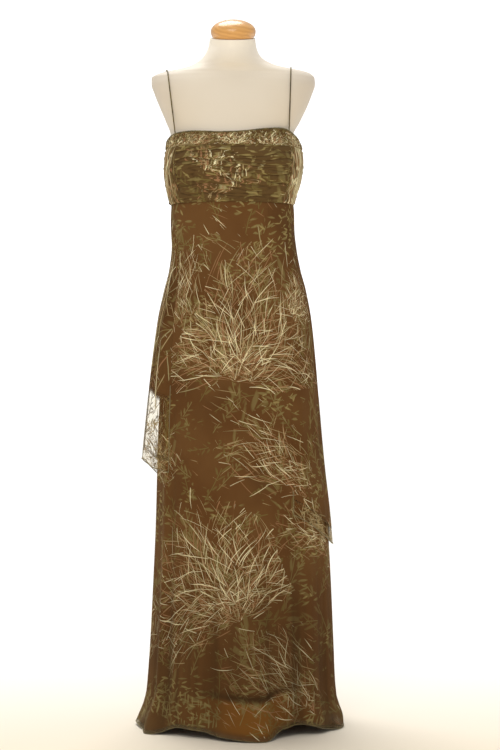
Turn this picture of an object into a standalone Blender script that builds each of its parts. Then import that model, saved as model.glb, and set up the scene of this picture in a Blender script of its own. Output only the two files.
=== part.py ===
"""Full-length evening gown on a limbless dress form, in metres, +Z up.

The front faces -Y, and left and right are as seen from the front. The origin is the middle of the
stand's underside, on the floor. Every cloth layer is worked out from one surface, gown_surface(),
moved in or out, so that the layers follow each other with an even gap.
"""

from collections import namedtuple

import bpy
import numpy as np
from mathutils import Matrix, Vector
from mathutils.bvhtree import BVHTree

# ---------------------------------------------------------------- driving sizes
WALL = 0.0012  # every cloth wall
SEAM_GAP = 0.0003  # between neighbours along a seam
# An upright seam's edges stop this short of it on the outside, since the facets beside it turn
# the walls' inner edges towards each other.
SEAM_SET = 0.00028
LINING_SEAM_SET = 0.0005
LAYER_GAP = 0.0011  # between the skirt and its lining
SEAT_GAP = 0.0004  # between pieces that rest on each other

WAIST = 1.190  # height of the seam under the bust
SEAM_LEVEL = 1.200  # height at which upright seams are set out
BODICE_TOP = 1.317  # where the gathered band is sewn on
BAND_PROUD = 0.0014  # the band stands out from the bodice
BODICE_PROUD = 0.0008  # the bodice blouses over the waist seam
RUCHE_DEPTH = 0.0010
RUCHE_PITCH = 0.033
CLOTH_STACK = 0.0042  # from the outside of the bodice in to the form

BUST_HEIGHT = 1.275
BUST_TURN = np.radians(31)
BUST_SPREAD = np.radians(24)
BUST_TALL = 0.048
BUST_RISE = 0.009

LINING_INSET = 0.021  # it hangs this much further in at the hem, clear of the skirt's troughs
LINING_PARTS = 1.020  # height at which it starts to part from the skirt
LINING_HEM = 0.016  # the lining ends this much above the skirt's hem
HEM_CLEAR = 0.0012  # lowest point of the hem above the floor
HEM_WAVES_FROM = 0.200  # rows follow the hem's waves below this
BREAK_HEIGHT = 0.085  # the skirt kicks out over the floor below this

STRAP_RADIUS = 0.0016
STRAP_PEAK = 1.530  # the guide line starts this high over the shoulder, clear of the form
STRAP_KNOTS = 44
STRAP_PASSES = 400
STRAP_CLEAR = 0.0010  # enough for the straight stretches between its knots to clear the form
NECK_TILT = np.radians(15)
NECK_TILT_FROM = 1.525
CAP_RADIUS = 0.0515
CAP_HEIGHT = 0.0425
CAP_WIDEST = 0.0155  # height of its widest ring
CAP_FOOT = 0.0435  # radius of its flat underside
FORM_UNDERSIDE = 0.780
POLE_RADIUS = 0.016
BASE_RADIUS = 0.125
BASE_THICKNESS = 0.010
BASE_EDGE = 0.004  # radius of the plate's upper edge
HUB_RADIUS = 0.034
HUB_HEIGHT = 0.030
HUB_TOP_RADIUS = 0.020
HUB_FILLET = 0.005

SAMPLES = 400  # points along a line on which a place is looked up

# ---------------------------------------------------------------- tables
Section = namedtuple("Section", "height left right front back square")
Fold = namedtuple("Fold", "angle width depth top")
HemWave = namedtuple("HemWave", "angle rise reach")
PanelHem = namedtuple("PanelHem", "angle height stand_off")
PanelEdge = namedtuple("PanelEdge", "height left right")
BandEdge = namedtuple("BandEdge", "angle height")

# Half-widths and depths of the outside of the cloth, from the stand's axis.
BODICE_SECTIONS = (
    Section(1.350, 0.1475, 0.1410, 0.1105, 0.1045, 2.3),
    Section(1.318, 0.1520, 0.1550, 0.1200, 0.1070, 2.3),
    Section(1.290, 0.1560, 0.1580, 0.1250, 0.1070, 2.3),
    Section(1.265, 0.1570, 0.1560, 0.1260, 0.1060, 2.3),
    Section(1.240, 0.1540, 0.1520, 0.1230, 0.1040, 2.3),
    Section(1.210, 0.1480, 0.1425, 0.1185, 0.1010, 2.3),
    Section(1.190, 0.1425, 0.1380, 0.1155, 0.0985, 2.3),
)
SKIRT_SECTIONS = (
    Section(1.190, 0.1415, 0.1370, 0.115, 0.098, 2.3),
    Section(1.134, 0.1390, 0.1375, 0.112, 0.096, 2.3),
    Section(1.088, 0.1350, 0.1420, 0.112, 0.100, 2.2),
    Section(1.042, 0.1380, 0.1500, 0.116, 0.112, 2.2),
    Section(0.995, 0.1470, 0.1620, 0.121, 0.126, 2.2),
    Section(0.926, 0.1580, 0.1740, 0.127, 0.140, 2.2),
    Section(0.834, 0.1650, 0.1830, 0.133, 0.150, 2.2),
    Section(0.742, 0.1690, 0.1900, 0.138, 0.158, 2.2),
    Section(0.604, 0.1730, 0.2010, 0.144, 0.166, 2.2),
    Section(0.466, 0.1750, 0.2145, 0.150, 0.173, 2.2),
    Section(0.328, 0.1800, 0.2220, 0.156, 0.180, 2.2),
    Section(0.190, 0.1860, 0.2275, 0.161, 0.187, 2.2),
    Section(0.098, 0.1920, 0.2310, 0.164, 0.192, 2.2),
    Section(0.052, 0.1970, 0.2370, 0.173, 0.199, 2.2),
    Section(0.000, 0.2120, 0.2470, 0.204, 0.214, 2.2),
)
SHOULDER_SECTIONS = (
    Section(1.572, 0.0540, 0.0505, 0.064, 0.040, 2.0),
    Section(1.556, 0.0565, 0.0525, 0.065, 0.046, 2.0),
    Section(1.540, 0.0630, 0.0580, 0.067, 0.054, 2.0),
    Section(1.527, 0.0725, 0.0680, 0.069, 0.061, 1.9),
    Section(1.516, 0.0870, 0.0870, 0.070, 0.066, 1.8),
    Section(1.508, 0.1050, 0.1120, 0.070, 0.069, 1.7),
    Section(1.502, 0.1270, 0.1420, 0.069, 0.069, 1.7),
    Section(1.497, 0.1530, 0.1670, 0.068, 0.070, 1.8),
    Section(1.491, 0.1750, 0.1800, 0.068, 0.072, 2.0),
    Section(1.482, 0.1880, 0.1870, 0.071, 0.076, 2.2),
    Section(1.468, 0.1880, 0.1880, 0.077, 0.082, 2.4),
    Section(1.445, 0.1810, 0.1810, 0.085, 0.090, 2.5),
    Section(1.415, 0.1690, 0.1690, 0.094, 0.097, 2.5),
    Section(1.382, 0.1550, 0.1530, 0.101, 0.100, 2.4),
)
HIP_SECTIONS = (
    Section(1.190, 0.1355, 0.1305, 0.108, 0.091, 2.3),
    Section(1.134, 0.1300, 0.1285, 0.104, 0.087, 2.3),
    Section(1.088, 0.1260, 0.1290, 0.102, 0.089, 2.2),
    Section(1.030, 0.1290, 0.1340, 0.106, 0.101, 2.2),
    Section(0.960, 0.1410, 0.1440, 0.111, 0.116, 2.2),
    Section(0.880, 0.1470, 0.1500, 0.113, 0.120, 2.2),
    Section(0.800, 0.1460, 0.1490, 0.110, 0.114, 2.2),
    Section(0.780, 0.1410, 0.1440, 0.105, 0.109, 2.2),
)

# Heights of the rows of corners in the skirt's layers, which share them so that flat facets of
# one never cut the next.
SKIRT_ROWS = (
    *(1.190, 1.165, 1.135, 1.105, 1.075, 1.045, 1.010, 0.965, 0.910, 0.830),
    *(0.730, 0.620, 0.500, 0.380, 0.270, 0.185, 0.120, 0.085, 0.055, 0.028, 0.000),
)
LINING_ROWS = SKIRT_ROWS[:13] + (0.320, 0.150, 0.060, 0.000)

OVERSKIRT_ROWS = SKIRT_ROWS[:12] + (0.540,)
OVERSKIRT_COLUMNS = 28
SKIRT_COLUMNS = 22
LINING_COLUMNS = 13
BAND_COLUMNS = 23
BAND_ROWS = 4
FORM_COLUMNS = 36
FORM_BUST_ROWS = 10  # between the top of the bodice and the waist
FORM_HIP_ROWS = SKIRT_ROWS[1:10]

# The band's top edge: highest where the straps join it, lowest under the arms.
BAND_EDGE = (
    BandEdge(-92, 1.3335),
    BandEdge(-77, 1.3365),
    BandEdge(-64, 1.3440),
    BandEdge(-50, 1.3473),
    BandEdge(-38, 1.3478),
    BandEdge(-20, 1.3455),
    BandEdge(-8, 1.3438),
    BandEdge(2, 1.3447),
    BandEdge(12, 1.3475),
    BandEdge(25, 1.3520),
    BandEdge(38, 1.3550),
    BandEdge(49, 1.3562),
    BandEdge(61, 1.3528),
    BandEdge(73, 1.3453),
    BandEdge(87, 1.3370),
    BandEdge(120, 1.3340),
    BandEdge(180, 1.3350),
    BandEdge(240, 1.3335),
)

# Upright folds of the skirt: ridges stand out and troughs, with a depth below zero, go in.
# Each is deepest at the hem and dies away at its top. Angles run from the middle of the front,
# to the right, in degrees; depths are at the hem.
SKIRT_FOLDS = (
    Fold(-88, 9, 0.005, 0.95),
    Fold(-70, 8, -0.005, 0.90),
    Fold(-58, 6, 0.006, 1.02),
    Fold(-50, 6, -0.006, 1.02),
    Fold(-30, 10, 0.004, 0.48),
    Fold(-11, 8, -0.004, 0.40),
    Fold(8, 10, 0.005, 0.50),
    Fold(21, 6, -0.005, 0.44),
    Fold(36, 6, -0.008, 0.62),
    Fold(47, 7, 0.005, 0.60),
    Fold(63, 8, -0.005, 0.52),
    Fold(80, 10, 0.005, 0.70),
    Fold(101, 8, -0.008, 0.85),
    Fold(117, 9, 0.009, 0.92),
    Fold(134, 8, -0.009, 0.80),
    Fold(152, 9, 0.010, 0.95),
    Fold(170, 8, -0.009, 0.88),
    Fold(189, 9, 0.010, 0.97),
    Fold(208, 8, -0.010, 0.86),
    Fold(226, 9, 0.009, 0.93),
    Fold(244, 8, -0.008, 0.78),
    Fold(258, 7, 0.006, 0.84),
)

# The hem's rise above the floor and its reach outwards, all round.
HEM_WAVES = (
    HemWave(-88, 0.008, 0.008),
    HemWave(-56, 0.000, 0.010),
    HemWave(-36, 0.026, -0.010),
    HemWave(-21, 0.023, -0.007),
    HemWave(-5, 0.007, 0.005),
    HemWave(14, 0.000, 0.014),
    HemWave(26, 0.019, -0.004),
    HemWave(38, 0.024, -0.008),
    HemWave(57, 0.008, -0.001),
    HemWave(75, 0.001, 0.004),
    HemWave(104, 0.018, -0.006),
    HemWave(128, 0.001, 0.006),
    HemWave(150, 0.020, -0.006),
    HemWave(171, 0.002, 0.007),
    HemWave(195, 0.022, -0.006),
    HemWave(218, 0.001, 0.006),
    HemWave(245, 0.018, -0.005),
)

# The overskirt's hem, from its left front edge round the back to its right front edge. Angles run
# to the left from the middle of the front. stand_off is its distance from the skirt there.
OVERSKIRT_HEM = (
    PanelHem(54, 0.580, 0.006),
    PanelHem(66, 0.592, 0.022),
    PanelHem(80, 0.610, 0.032),
    PanelHem(92, 0.606, 0.033),
    PanelHem(112, 0.570, 0.018),
    PanelHem(132, 0.520, 0.026),
    PanelHem(152, 0.505, 0.013),
    PanelHem(172, 0.470, 0.024),
    PanelHem(192, 0.462, 0.012),
    PanelHem(214, 0.440, 0.022),
    PanelHem(236, 0.432, 0.010),
    PanelHem(256, 0.418, 0.009),
    PanelHem(272, 0.414, 0.007),
    PanelHem(288, 0.432, 0.005),
    PanelHem(306, 0.462, 0.004),
    PanelHem(324, 0.492, 0.004),
)
# Where its two front edges run, in the same angles.
OVERSKIRT_EDGES = (
    PanelEdge(1.190, 84, 296),
    PanelEdge(1.050, 62, 306),
    PanelEdge(0.900, 56, 314),
    PanelEdge(0.400, 54, 324),
)
OVERSKIRT_STAND = 0.0034  # its distance from the skirt at the waist
OVERSKIRT_FALL = 1.25  # power by which it stands away towards its hem

STRAP_FRONT_X = {"left": -0.131, "right": 0.127}
STRAP_RIDGE_X = {"left": -0.155, "right": 0.133}
STRAP_BACK_X = {"left": -0.112, "right": 0.108}
CENTRE_SEAM = 0.130  # the bodice's front seams are this far from the middle

COLOURS = {
    "chiffon": (0.112, 0.052, 0.020),
    "satin": (0.190, 0.072, 0.022),
    "rouleau": (0.050, 0.034, 0.020),
    "form": (0.740, 0.650, 0.520),
    "wood": (0.560, 0.270, 0.080),
    "metal": (0.420, 0.420, 0.430),
}
FINISH = {  # roughness, metallic
    "chiffon": (0.75, 0.0),
    "satin": (0.42, 0.0),
    "rouleau": (0.70, 0.0),
    "form": (0.60, 0.0),
    "wood": (0.35, 0.0),
    "metal": (0.35, 1.0),
}


# ---------------------------------------------------------------- curves through tables
def smooth(at, places, values):
    """Cubic Hermite curve through (places, values), its slopes the harmonic mean of the two
    neighbouring chords and level where they turn, so it never overshoots."""
    places, values = np.asarray(places, float), np.asarray(values, float)
    if places[0] > places[-1]:
        places, values = places[::-1], values[::-1]
    step = np.diff(places)
    chord = np.diff(values) / step
    both = chord[:-1] * chord[1:]
    total = chord[:-1] + chord[1:]
    slope = np.empty_like(values)
    slope[1:-1] = np.where(both > 0, 2 * both / np.where(total == 0, 1, total), 0)
    slope[0], slope[-1] = chord[0], chord[-1]
    at = np.clip(at, places[0], places[-1])
    i = np.clip(np.searchsorted(places, at) - 1, 0, len(step) - 1)
    t = (at - places[i]) / step[i]
    rest = 1 - t
    return (
        values[i] * (1 + 2 * t) * rest**2
        + slope[i] * step[i] * t * rest**2
        + values[i + 1] * t**2 * (3 - 2 * t)
        - slope[i + 1] * step[i] * t**2 * rest
    )


def column(rows, name):
    return [getattr(row, name) for row in rows]


def around(turn, rows, name):
    """A column of a table whose first column is an angle all round, read at turn (radians)."""
    angles = np.array(column(rows, "angle"), float)
    values = np.array(column(rows, name), float)
    angles = np.concatenate([angles - 360, angles, angles + 360])
    at = np.degrees(turn) % 360
    return smooth(at, angles, np.tile(values, 3))


def ease(t):
    t = np.clip(t, 0, 1)
    return t * t * (3 - 2 * t)


# ---------------------------------------------------------------- surfaces
def section_at(rows, height):
    return [smooth(height, column(rows, "height"), column(rows, name)) for name in Section._fields[1:]]


def ring(turn, left, right, front, back, square):
    """Point and outward direction of a superellipse with its own half-width or depth in each
    quarter: x goes with |sin|^(2/square) and y with |cos|^(2/square)."""
    s, c = np.sin(turn), np.cos(turn)
    half = np.where(s < 0, left, right)
    depth = np.where(c > 0, front, back)
    x = half * np.sign(s) * np.abs(s) ** (2 / square)
    y = -depth * np.sign(c) * np.abs(c) ** (2 / square)
    out_x = np.sign(s) * np.abs(s) ** (2 - 2 / square) / half
    out_y = -np.sign(c) * np.abs(c) ** (2 - 2 / square) / depth
    length = np.hypot(out_x, out_y)
    return x, y, out_x / length, out_y / length


def bust(turn, height):
    """Two soft rises, each a bell round its own angle and height."""
    turn = (turn + np.pi) % (2 * np.pi) - np.pi
    tall = np.exp(-(((height - BUST_HEIGHT) / BUST_TALL) ** 2))
    wide = sum(np.exp(-(((turn - side * BUST_TURN) / BUST_SPREAD) ** 2)) for side in (-1, 1))
    return BUST_RISE * tall * wide


def skirt_folds(turn, height):
    """Sum of the upright folds, each a bell across its angle that eases in below its top."""
    total = 0.0
    for fold in SKIRT_FOLDS:
        off = (np.degrees(turn) - fold.angle + 180) % 360 - 180
        bell = np.exp(-((off / fold.width) ** 2))
        total = total + fold.depth * bell * ease((fold.top - height) / fold.top)
    return total


def gown_surface(turn, height, out=0.0, folded=True):
    """Outside of the bodice above the waist and of the skirt below it, moved out by out."""
    turn, height = np.broadcast_arrays(turn, np.asarray(height, float))
    above = height >= WAIST - 1e-6
    upper = section_at(BODICE_SECTIONS, height)
    lower = section_at(SKIRT_SECTIONS, height)
    x, y, out_x, out_y = ring(turn, *(np.where(above, a, b) for a, b in zip(upper, lower)))
    kick = ease((BREAK_HEIGHT - height) / BREAK_HEIGHT) * around(turn, HEM_WAVES, "reach")
    pleats = np.where(above | (not folded), 0, skirt_folds(turn, height) + kick)
    out = out + bust(turn, height) + pleats
    return np.stack([x + out_x * out, y + out_y * out, height], axis=-1)


def hem_height(turn):
    return HEM_CLEAR + around(turn, HEM_WAVES, "rise")


def band_top(turn):
    return around(turn, BAND_EDGE, "height")


def ruche(height):
    """Soft level ripples of the gathered cloth, which die away at both seams."""
    at = (height - WAIST) / (BODICE_TOP - WAIST)
    wave = np.sin(2 * np.pi * (height - WAIST) / RUCHE_PITCH)
    return RUCHE_DEPTH * wave * ease(6 * at) * ease(6 * (1 - at))


# ---------------------------------------------------------------- objects
def clear_scene():
    for item in list(bpy.data.objects):
        bpy.data.objects.remove(item, do_unlink=True)


def material(name):
    found = bpy.data.materials.get(name)
    if found:
        return found
    made = bpy.data.materials.new(name)
    made.use_nodes = True
    shader = made.node_tree.nodes["Principled BSDF"]
    shader.inputs["Base Color"].default_value = (*COLOURS[name], 1)
    shader.inputs["Roughness"].default_value = FINISH[name][0]
    shader.inputs["Metallic"].default_value = FINISH[name][1]
    made.diffuse_color = (*COLOURS[name], 1)
    return made


def add_object(name, data, finish, collection):
    item = bpy.data.objects.new(name, data)
    data.materials.append(material(finish))
    collection.objects.link(item)
    return item


def grid_mesh(name, points, closed=False):
    """Mesh of a grid of points, rows first, facing out where rows run down and columns run
    to the right. A closed grid joins its last column to its first."""
    rows, columns = points.shape[:2]
    index = np.arange(rows * columns).reshape(rows, columns)
    if closed:
        index = np.hstack([index, index[:, :1]])
    corners = [index[:-1, :-1], index[1:, :-1], index[1:, 1:], index[:-1, 1:]]
    faces = np.stack(corners, axis=-1).reshape(-1, 4)
    mesh = bpy.data.meshes.new(name)
    mesh.from_pydata(points.reshape(-1, 3).tolist(), [], faces.tolist())
    mesh.shade_smooth()
    return mesh


def cloth(name, points, finish, collection):
    """A panel: the grid is its outside, and Solidify gives it its wall inwards."""
    panel = add_object(name, grid_mesh(name, points), finish, collection)
    wall = panel.modifiers.new("wall", "SOLIDIFY")
    wall.thickness = WALL
    wall.offset = -1
    return panel


def seam_turn(turn, side, reach):
    """The angle whose point on the cloth is reach to the given side of a seam."""
    steps = np.linspace(0, 0.02, SAMPLES)
    points = gown_surface(turn + side * steps, SEAM_LEVEL)
    away = np.linalg.norm(points - points[0], axis=1)
    return turn + side * float(np.interp(reach, away, steps))


def turns_between(first, last, count, short=SEAM_SET):
    """Angles across a panel, a little short of the seam at each side."""
    return np.linspace(seam_turn(first, 1, short), seam_turn(last, -1, short), count)


def panel_grid(turns, top, bottom, rows, surface):
    """Even rows from the height top(turn) down to bottom(turn)."""
    high, low = np.broadcast_arrays(top(turns), bottom(turns))
    heights = high + (low - high) * np.linspace(0, 1, rows)[:, None]
    return surface(np.broadcast_to(turns, heights.shape), heights)


def skirt_grid(turns, levels, lift, surface):
    """Rows at the given levels, which follow the hem's waves as they near it. lift raises the
    hem, and the top row keeps clear of the waist seam."""
    levels = np.array(levels)[:, None]
    share = ease((HEM_WAVES_FROM - levels) / HEM_WAVES_FROM)
    heights = levels + (hem_height(turns) + lift) * share
    heights[0] -= SEAM_GAP
    return surface(np.broadcast_to(turns, heights.shape), heights)


def level(height):
    return lambda turn: np.full_like(turn, height)


# ---------------------------------------------------------------- the gown
def centre_seam_turn():
    """The angle at which the bodice's outside is CENTRE_SEAM from the middle."""
    turns = np.linspace(0, np.pi / 2, SAMPLES)
    x = gown_surface(turns, BUST_HEIGHT)[:, 0]
    return float(np.interp(CENTRE_SEAM, x, turns))


def build_bodice(collection):
    seam = centre_seam_turn()
    side, back = np.pi / 2, 3 * np.pi / 2
    top, bottom = level(BODICE_TOP - SEAM_GAP), level(WAIST + SEAM_GAP)

    def ruched(turn, height):
        return gown_surface(turn, height, BODICE_PROUD + ruche(height))

    def plain(turn, height):
        return gown_surface(turn, height, BODICE_PROUD)

    panels = (
        ("bodice_front", -seam, seam, 15, 14, ruched),
        ("bodice_side_left", -side, -seam, 6, 8, plain),
        ("bodice_side_right", seam, side, 6, 8, plain),
        ("bodice_back", side, back, 17, 7, plain),
    )
    for name, first, last, columns, rows, surface in panels:
        turns = turns_between(first, last, columns)
        cloth(name, panel_grid(turns, top, bottom, rows, surface), "chiffon", collection)


def build_band(collection):
    def surface(turn, height):
        return gown_surface(turn, height, BODICE_PROUD + BAND_PROUD)

    side, back = np.pi / 2, 3 * np.pi / 2
    bottom = level(BODICE_TOP + SEAM_GAP)
    for name, first, last in (("top_band_front", -side, side), ("top_band_back", side, back)):
        turns = turns_between(first, last, BAND_COLUMNS)
        points = panel_grid(turns, band_top, bottom, BAND_ROWS, surface)
        cloth(name, points, "chiffon", collection)


def build_skirt(collection):
    side, back = np.pi / 2, 3 * np.pi / 2
    for name, first, last in (("skirt_front", -side, side), ("skirt_back", side, back)):
        turns = turns_between(first, last, SKIRT_COLUMNS)
        points = skirt_grid(turns, SKIRT_ROWS, 0, gown_surface)
        cloth(name, points, "chiffon", collection)


def build_lining(collection):
    def surface(turn, height):
        inset = WALL + LAYER_GAP + LINING_INSET * ease((LINING_PARTS - height) / LINING_PARTS)
        return gown_surface(turn, height, -inset, folded=False)

    side, back = np.pi / 2, 3 * np.pi / 2
    for name, first, last in (("lining_front", -side, side), ("lining_back", side, back)):
        turns = turns_between(first, last, LINING_COLUMNS, LINING_SEAM_SET)
        points = skirt_grid(turns, LINING_ROWS, LINING_HEM, surface)
        cloth(name, points, "satin", collection)


def build_overskirt(collection):
    """One wide panel hung from the waist seam. Its distance from the skirt grows towards the
    hem, where stand_off gives its flutes."""
    share = np.linspace(0, 1, OVERSKIRT_COLUMNS)
    heights = np.array(column(OVERSKIRT_EDGES, "height"))

    def turns_at(height):
        left = smooth(height, heights, column(OVERSKIRT_EDGES, "left"))
        right = smooth(height, heights, column(OVERSKIRT_EDGES, "right"))
        return left + (right - left) * share

    angles = column(OVERSKIRT_HEM, "angle")
    hem = smooth(turns_at(0.5), angles, column(OVERSKIRT_HEM, "height"))
    stand = smooth(turns_at(0.5), angles, column(OVERSKIRT_HEM, "stand_off"))
    top = WAIST - SEAM_GAP
    down = (WAIST - np.array(OVERSKIRT_ROWS)[:, None]) / (WAIST - OVERSKIRT_ROWS[-1])
    height = top + (hem - top) * down
    turn = -np.radians(turns_at(height))
    out = OVERSKIRT_STAND + (stand - OVERSKIRT_STAND).clip(0) * down**OVERSKIRT_FALL
    points = gown_surface(turn, height, out)
    # Columns run to the left here, and a panel's run to the right.
    cloth("overskirt", points[:, ::-1], "chiffon", collection)


# ---------------------------------------------------------------- the form and its stand
def form_rows():
    """The form's sections: shoulders, the bodice's own less the cloth, and hips."""
    shrunk = [
        row._replace(
            left=row.left - CLOTH_STACK + BODICE_PROUD,
            right=row.right - CLOTH_STACK + BODICE_PROUD,
            front=row.front - CLOTH_STACK + BODICE_PROUD,
            back=row.back - CLOTH_STACK + BODICE_PROUD,
        )
        for row in BODICE_SECTIONS[:-1]
    ]
    return SHOULDER_SECTIONS + tuple(shrunk) + HIP_SECTIONS


def neck_tilt(points):
    """Tips the top of the neck forward: heights fall towards the front above NECK_TILT_FROM."""
    top = SHOULDER_SECTIONS[0].height
    share = ease((points[..., 2] - NECK_TILT_FROM) / (top - NECK_TILT_FROM))
    lean = np.tan(NECK_TILT) * (points[..., 1] - neck_middle())
    points = points.copy()
    points[..., 2] += share * lean
    return points


def neck_middle():
    return (SHOULDER_SECTIONS[0].back - SHOULDER_SECTIONS[0].front) / 2


def form_points(heights, columns):
    rows = form_rows()
    turn = np.linspace(-np.pi, np.pi, columns, endpoint=False)[None, :]
    height = np.asarray(heights)[:, None]
    x, y, out_x, out_y = ring(turn, *section_at(rows, height))
    rise = bust(turn, height)
    flat = np.broadcast_to(height, x.shape)
    return neck_tilt(np.stack([x + out_x * rise, y + out_y * rise, flat], axis=-1))


def build_form(collection):
    heights = column(SHOULDER_SECTIONS, "height")
    heights += [*np.linspace(BODICE_SECTIONS[0].height, WAIST, FORM_BUST_ROWS), *FORM_HIP_ROWS]
    heights += [HIP_SECTIONS[-2].height, FORM_UNDERSIDE]
    points = form_points(heights, FORM_COLUMNS)
    mesh = grid_mesh("form_torso", points, closed=True)
    vertices = [tuple(v.co) for v in mesh.vertices]
    faces = [tuple(p.vertices) for p in mesh.polygons]
    rows, columns = points.shape[:2]
    faces.append(tuple(range(columns)))
    faces.append(tuple(reversed(range((rows - 1) * columns, rows * columns))))
    whole = bpy.data.meshes.new("form_torso")
    whole.from_pydata(vertices, [], faces)
    bpy.data.meshes.remove(mesh)
    whole.shade_smooth()
    return add_object("form_torso", whole, "form", collection)


def turned(name, profile, finish, collection, steps=36):
    """A solid turned round +Z: profile is (radius, height) from the top of the axis down the
    outside to the foot of the axis."""
    mesh = bpy.data.meshes.new(name)
    edges = [(i, i + 1) for i in range(len(profile) - 1)]
    mesh.from_pydata([(r, 0, z) for r, z in profile], edges, [])
    item = add_object(name, mesh, finish, collection)
    screw = item.modifiers.new("turn", "SCREW")
    screw.steps = screw.render_steps = steps
    screw.use_merge_vertices = True
    screw.merge_threshold = 1e-5
    screw.use_smooth_shade = True
    return item


def arc(centre, radius, first, last, count):
    """Points of an arc in (radius, height), its angles in degrees from straight out."""
    angles = np.radians(np.linspace(first, last, count))
    return [(centre[0] + radius * np.cos(a), centre[1] + radius * np.sin(a)) for a in angles]


def build_cap(collection):
    """A dome, half an ellipse from the top down to the widest ring, with a tighter quarter
    ellipse below it that turns in to the flat underside."""
    over = np.radians(np.linspace(90, 0, 11))
    under = np.radians(np.linspace(0, 80, 6)[1:])
    rise, tuck = CAP_HEIGHT - CAP_WIDEST, CAP_RADIUS - CAP_FOOT
    dome = [(max(CAP_RADIUS * np.cos(a), 0), CAP_WIDEST + rise * np.sin(a)) for a in over[1:]]
    foot = [(CAP_FOOT + tuck * np.cos(a), CAP_WIDEST * (1 - np.sin(a))) for a in under]
    profile = [(0, CAP_HEIGHT)] + dome + foot + [(CAP_FOOT, 0), (0, 0)]
    cap = turned("neck_cap", profile, "wood", collection)
    top = Vector((0, neck_middle(), SHOULDER_SECTIONS[0].height))
    lean = Matrix.Rotation(NECK_TILT, 4, "X")
    cap.matrix_world = Matrix.Translation(top) @ lean @ Matrix.Translation((0, 0, SEAT_GAP))


def build_stand(collection):
    base = [(0, HUB_HEIGHT), (HUB_TOP_RADIUS, HUB_HEIGHT)]
    base += [(HUB_RADIUS, BASE_THICKNESS + HUB_FILLET), (HUB_RADIUS + HUB_FILLET, BASE_THICKNESS)]
    base += arc((BASE_RADIUS - BASE_EDGE, BASE_THICKNESS - BASE_EDGE), BASE_EDGE, 90, 0, 4)
    base += [(BASE_RADIUS, 0), (0, 0)]
    turned("stand_base", base, "metal", collection, 48)
    low, high = HUB_HEIGHT + SEAT_GAP, FORM_UNDERSIDE - SEAT_GAP
    pole = [(0, high), (POLE_RADIUS, high), (POLE_RADIUS, low), (0, low)]
    turned("stand_pole", pole, "metal", collection, 24)


# ---------------------------------------------------------------- straps
def strap_route(side, form):
    """A taut line from the band's front edge, over the shoulder, to the band's back edge. Each
    pass pulls every knot to the middle of its neighbours, in its own upright plane across the
    shoulder, and then moves it out until it clears the form."""
    ends = []
    for x, first, last in ((STRAP_FRONT_X[side], 0, 1), (STRAP_BACK_X[side], 2, 1)):
        turns = np.linspace(first, last, SAMPLES) * np.pi / 2 * np.sign(x)
        at = gown_surface(turns, band_top(turns), BODICE_PROUD + BAND_PROUD - WALL / 2)
        ends.append(at[np.argmin(np.abs(at[:, 0] - x))])
    lift = np.array([0, 0, STRAP_RADIUS * 0.3 + SEAM_GAP])
    front, back = (end + lift for end in ends)
    peak = np.array([STRAP_RIDGE_X[side], 0.0, STRAP_PEAK])
    share = np.linspace(0, 1, STRAP_KNOTS // 2 + 1)[:, None]
    route = np.vstack([front + (peak - front) * share, peak + (back - peak) * share[1:]])
    tree = BVHTree.FromObject(form, bpy.context.evaluated_depsgraph_get())
    clear = STRAP_RADIUS + STRAP_CLEAR
    for _ in range(STRAP_PASSES):
        route[1:-1, 1:] = (route[:-2, 1:] + route[2:, 1:]) / 2
        for knot in route[1:-1]:
            foot, normal, _, _ = tree.find_nearest(knot)
            short = clear - (Vector(knot) - foot).dot(normal)
            across = np.array([0, normal.y, normal.z])
            if short > 0:
                knot += across * short / across.dot(across)
    return route


def build_strap(side, form, collection):
    route = strap_route(side, form)
    curve = bpy.data.curves.new(f"strap_{side}", "CURVE")
    curve.dimensions = "3D"
    curve.bevel_depth = STRAP_RADIUS
    curve.bevel_resolution = 2
    curve.use_fill_caps = True
    line = curve.splines.new("POLY")
    line.points.add(len(route) - 1)
    for knot, point in zip(line.points, route):
        knot.co = (*point, 1)
    return add_object(f"strap_{side}", curve, "rouleau", collection)


def main():
    clear_scene()
    collection = bpy.data.collections.new("evening_gown_on_form")
    bpy.context.scene.collection.children.link(collection)
    form = build_form(collection)
    build_cap(collection)
    build_stand(collection)
    build_bodice(collection)
    build_band(collection)
    build_skirt(collection)
    build_lining(collection)
    build_overskirt(collection)
    bpy.context.view_layer.update()
    for side in ("left", "right"):
        build_strap(side, form, collection)


main()
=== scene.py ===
"""Looks of a full-length evening gown in printed chiffon on a limbless dress form.

Every layer of cloth is worked out from one surface, gown_surface(), whose two parameters are the
turn round the stand's axis and the height. The front faces -Y, turn 0 is the middle of the front,
and left and right are as seen from the front. Sizes are in metres.
"""

from collections import namedtuple

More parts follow.
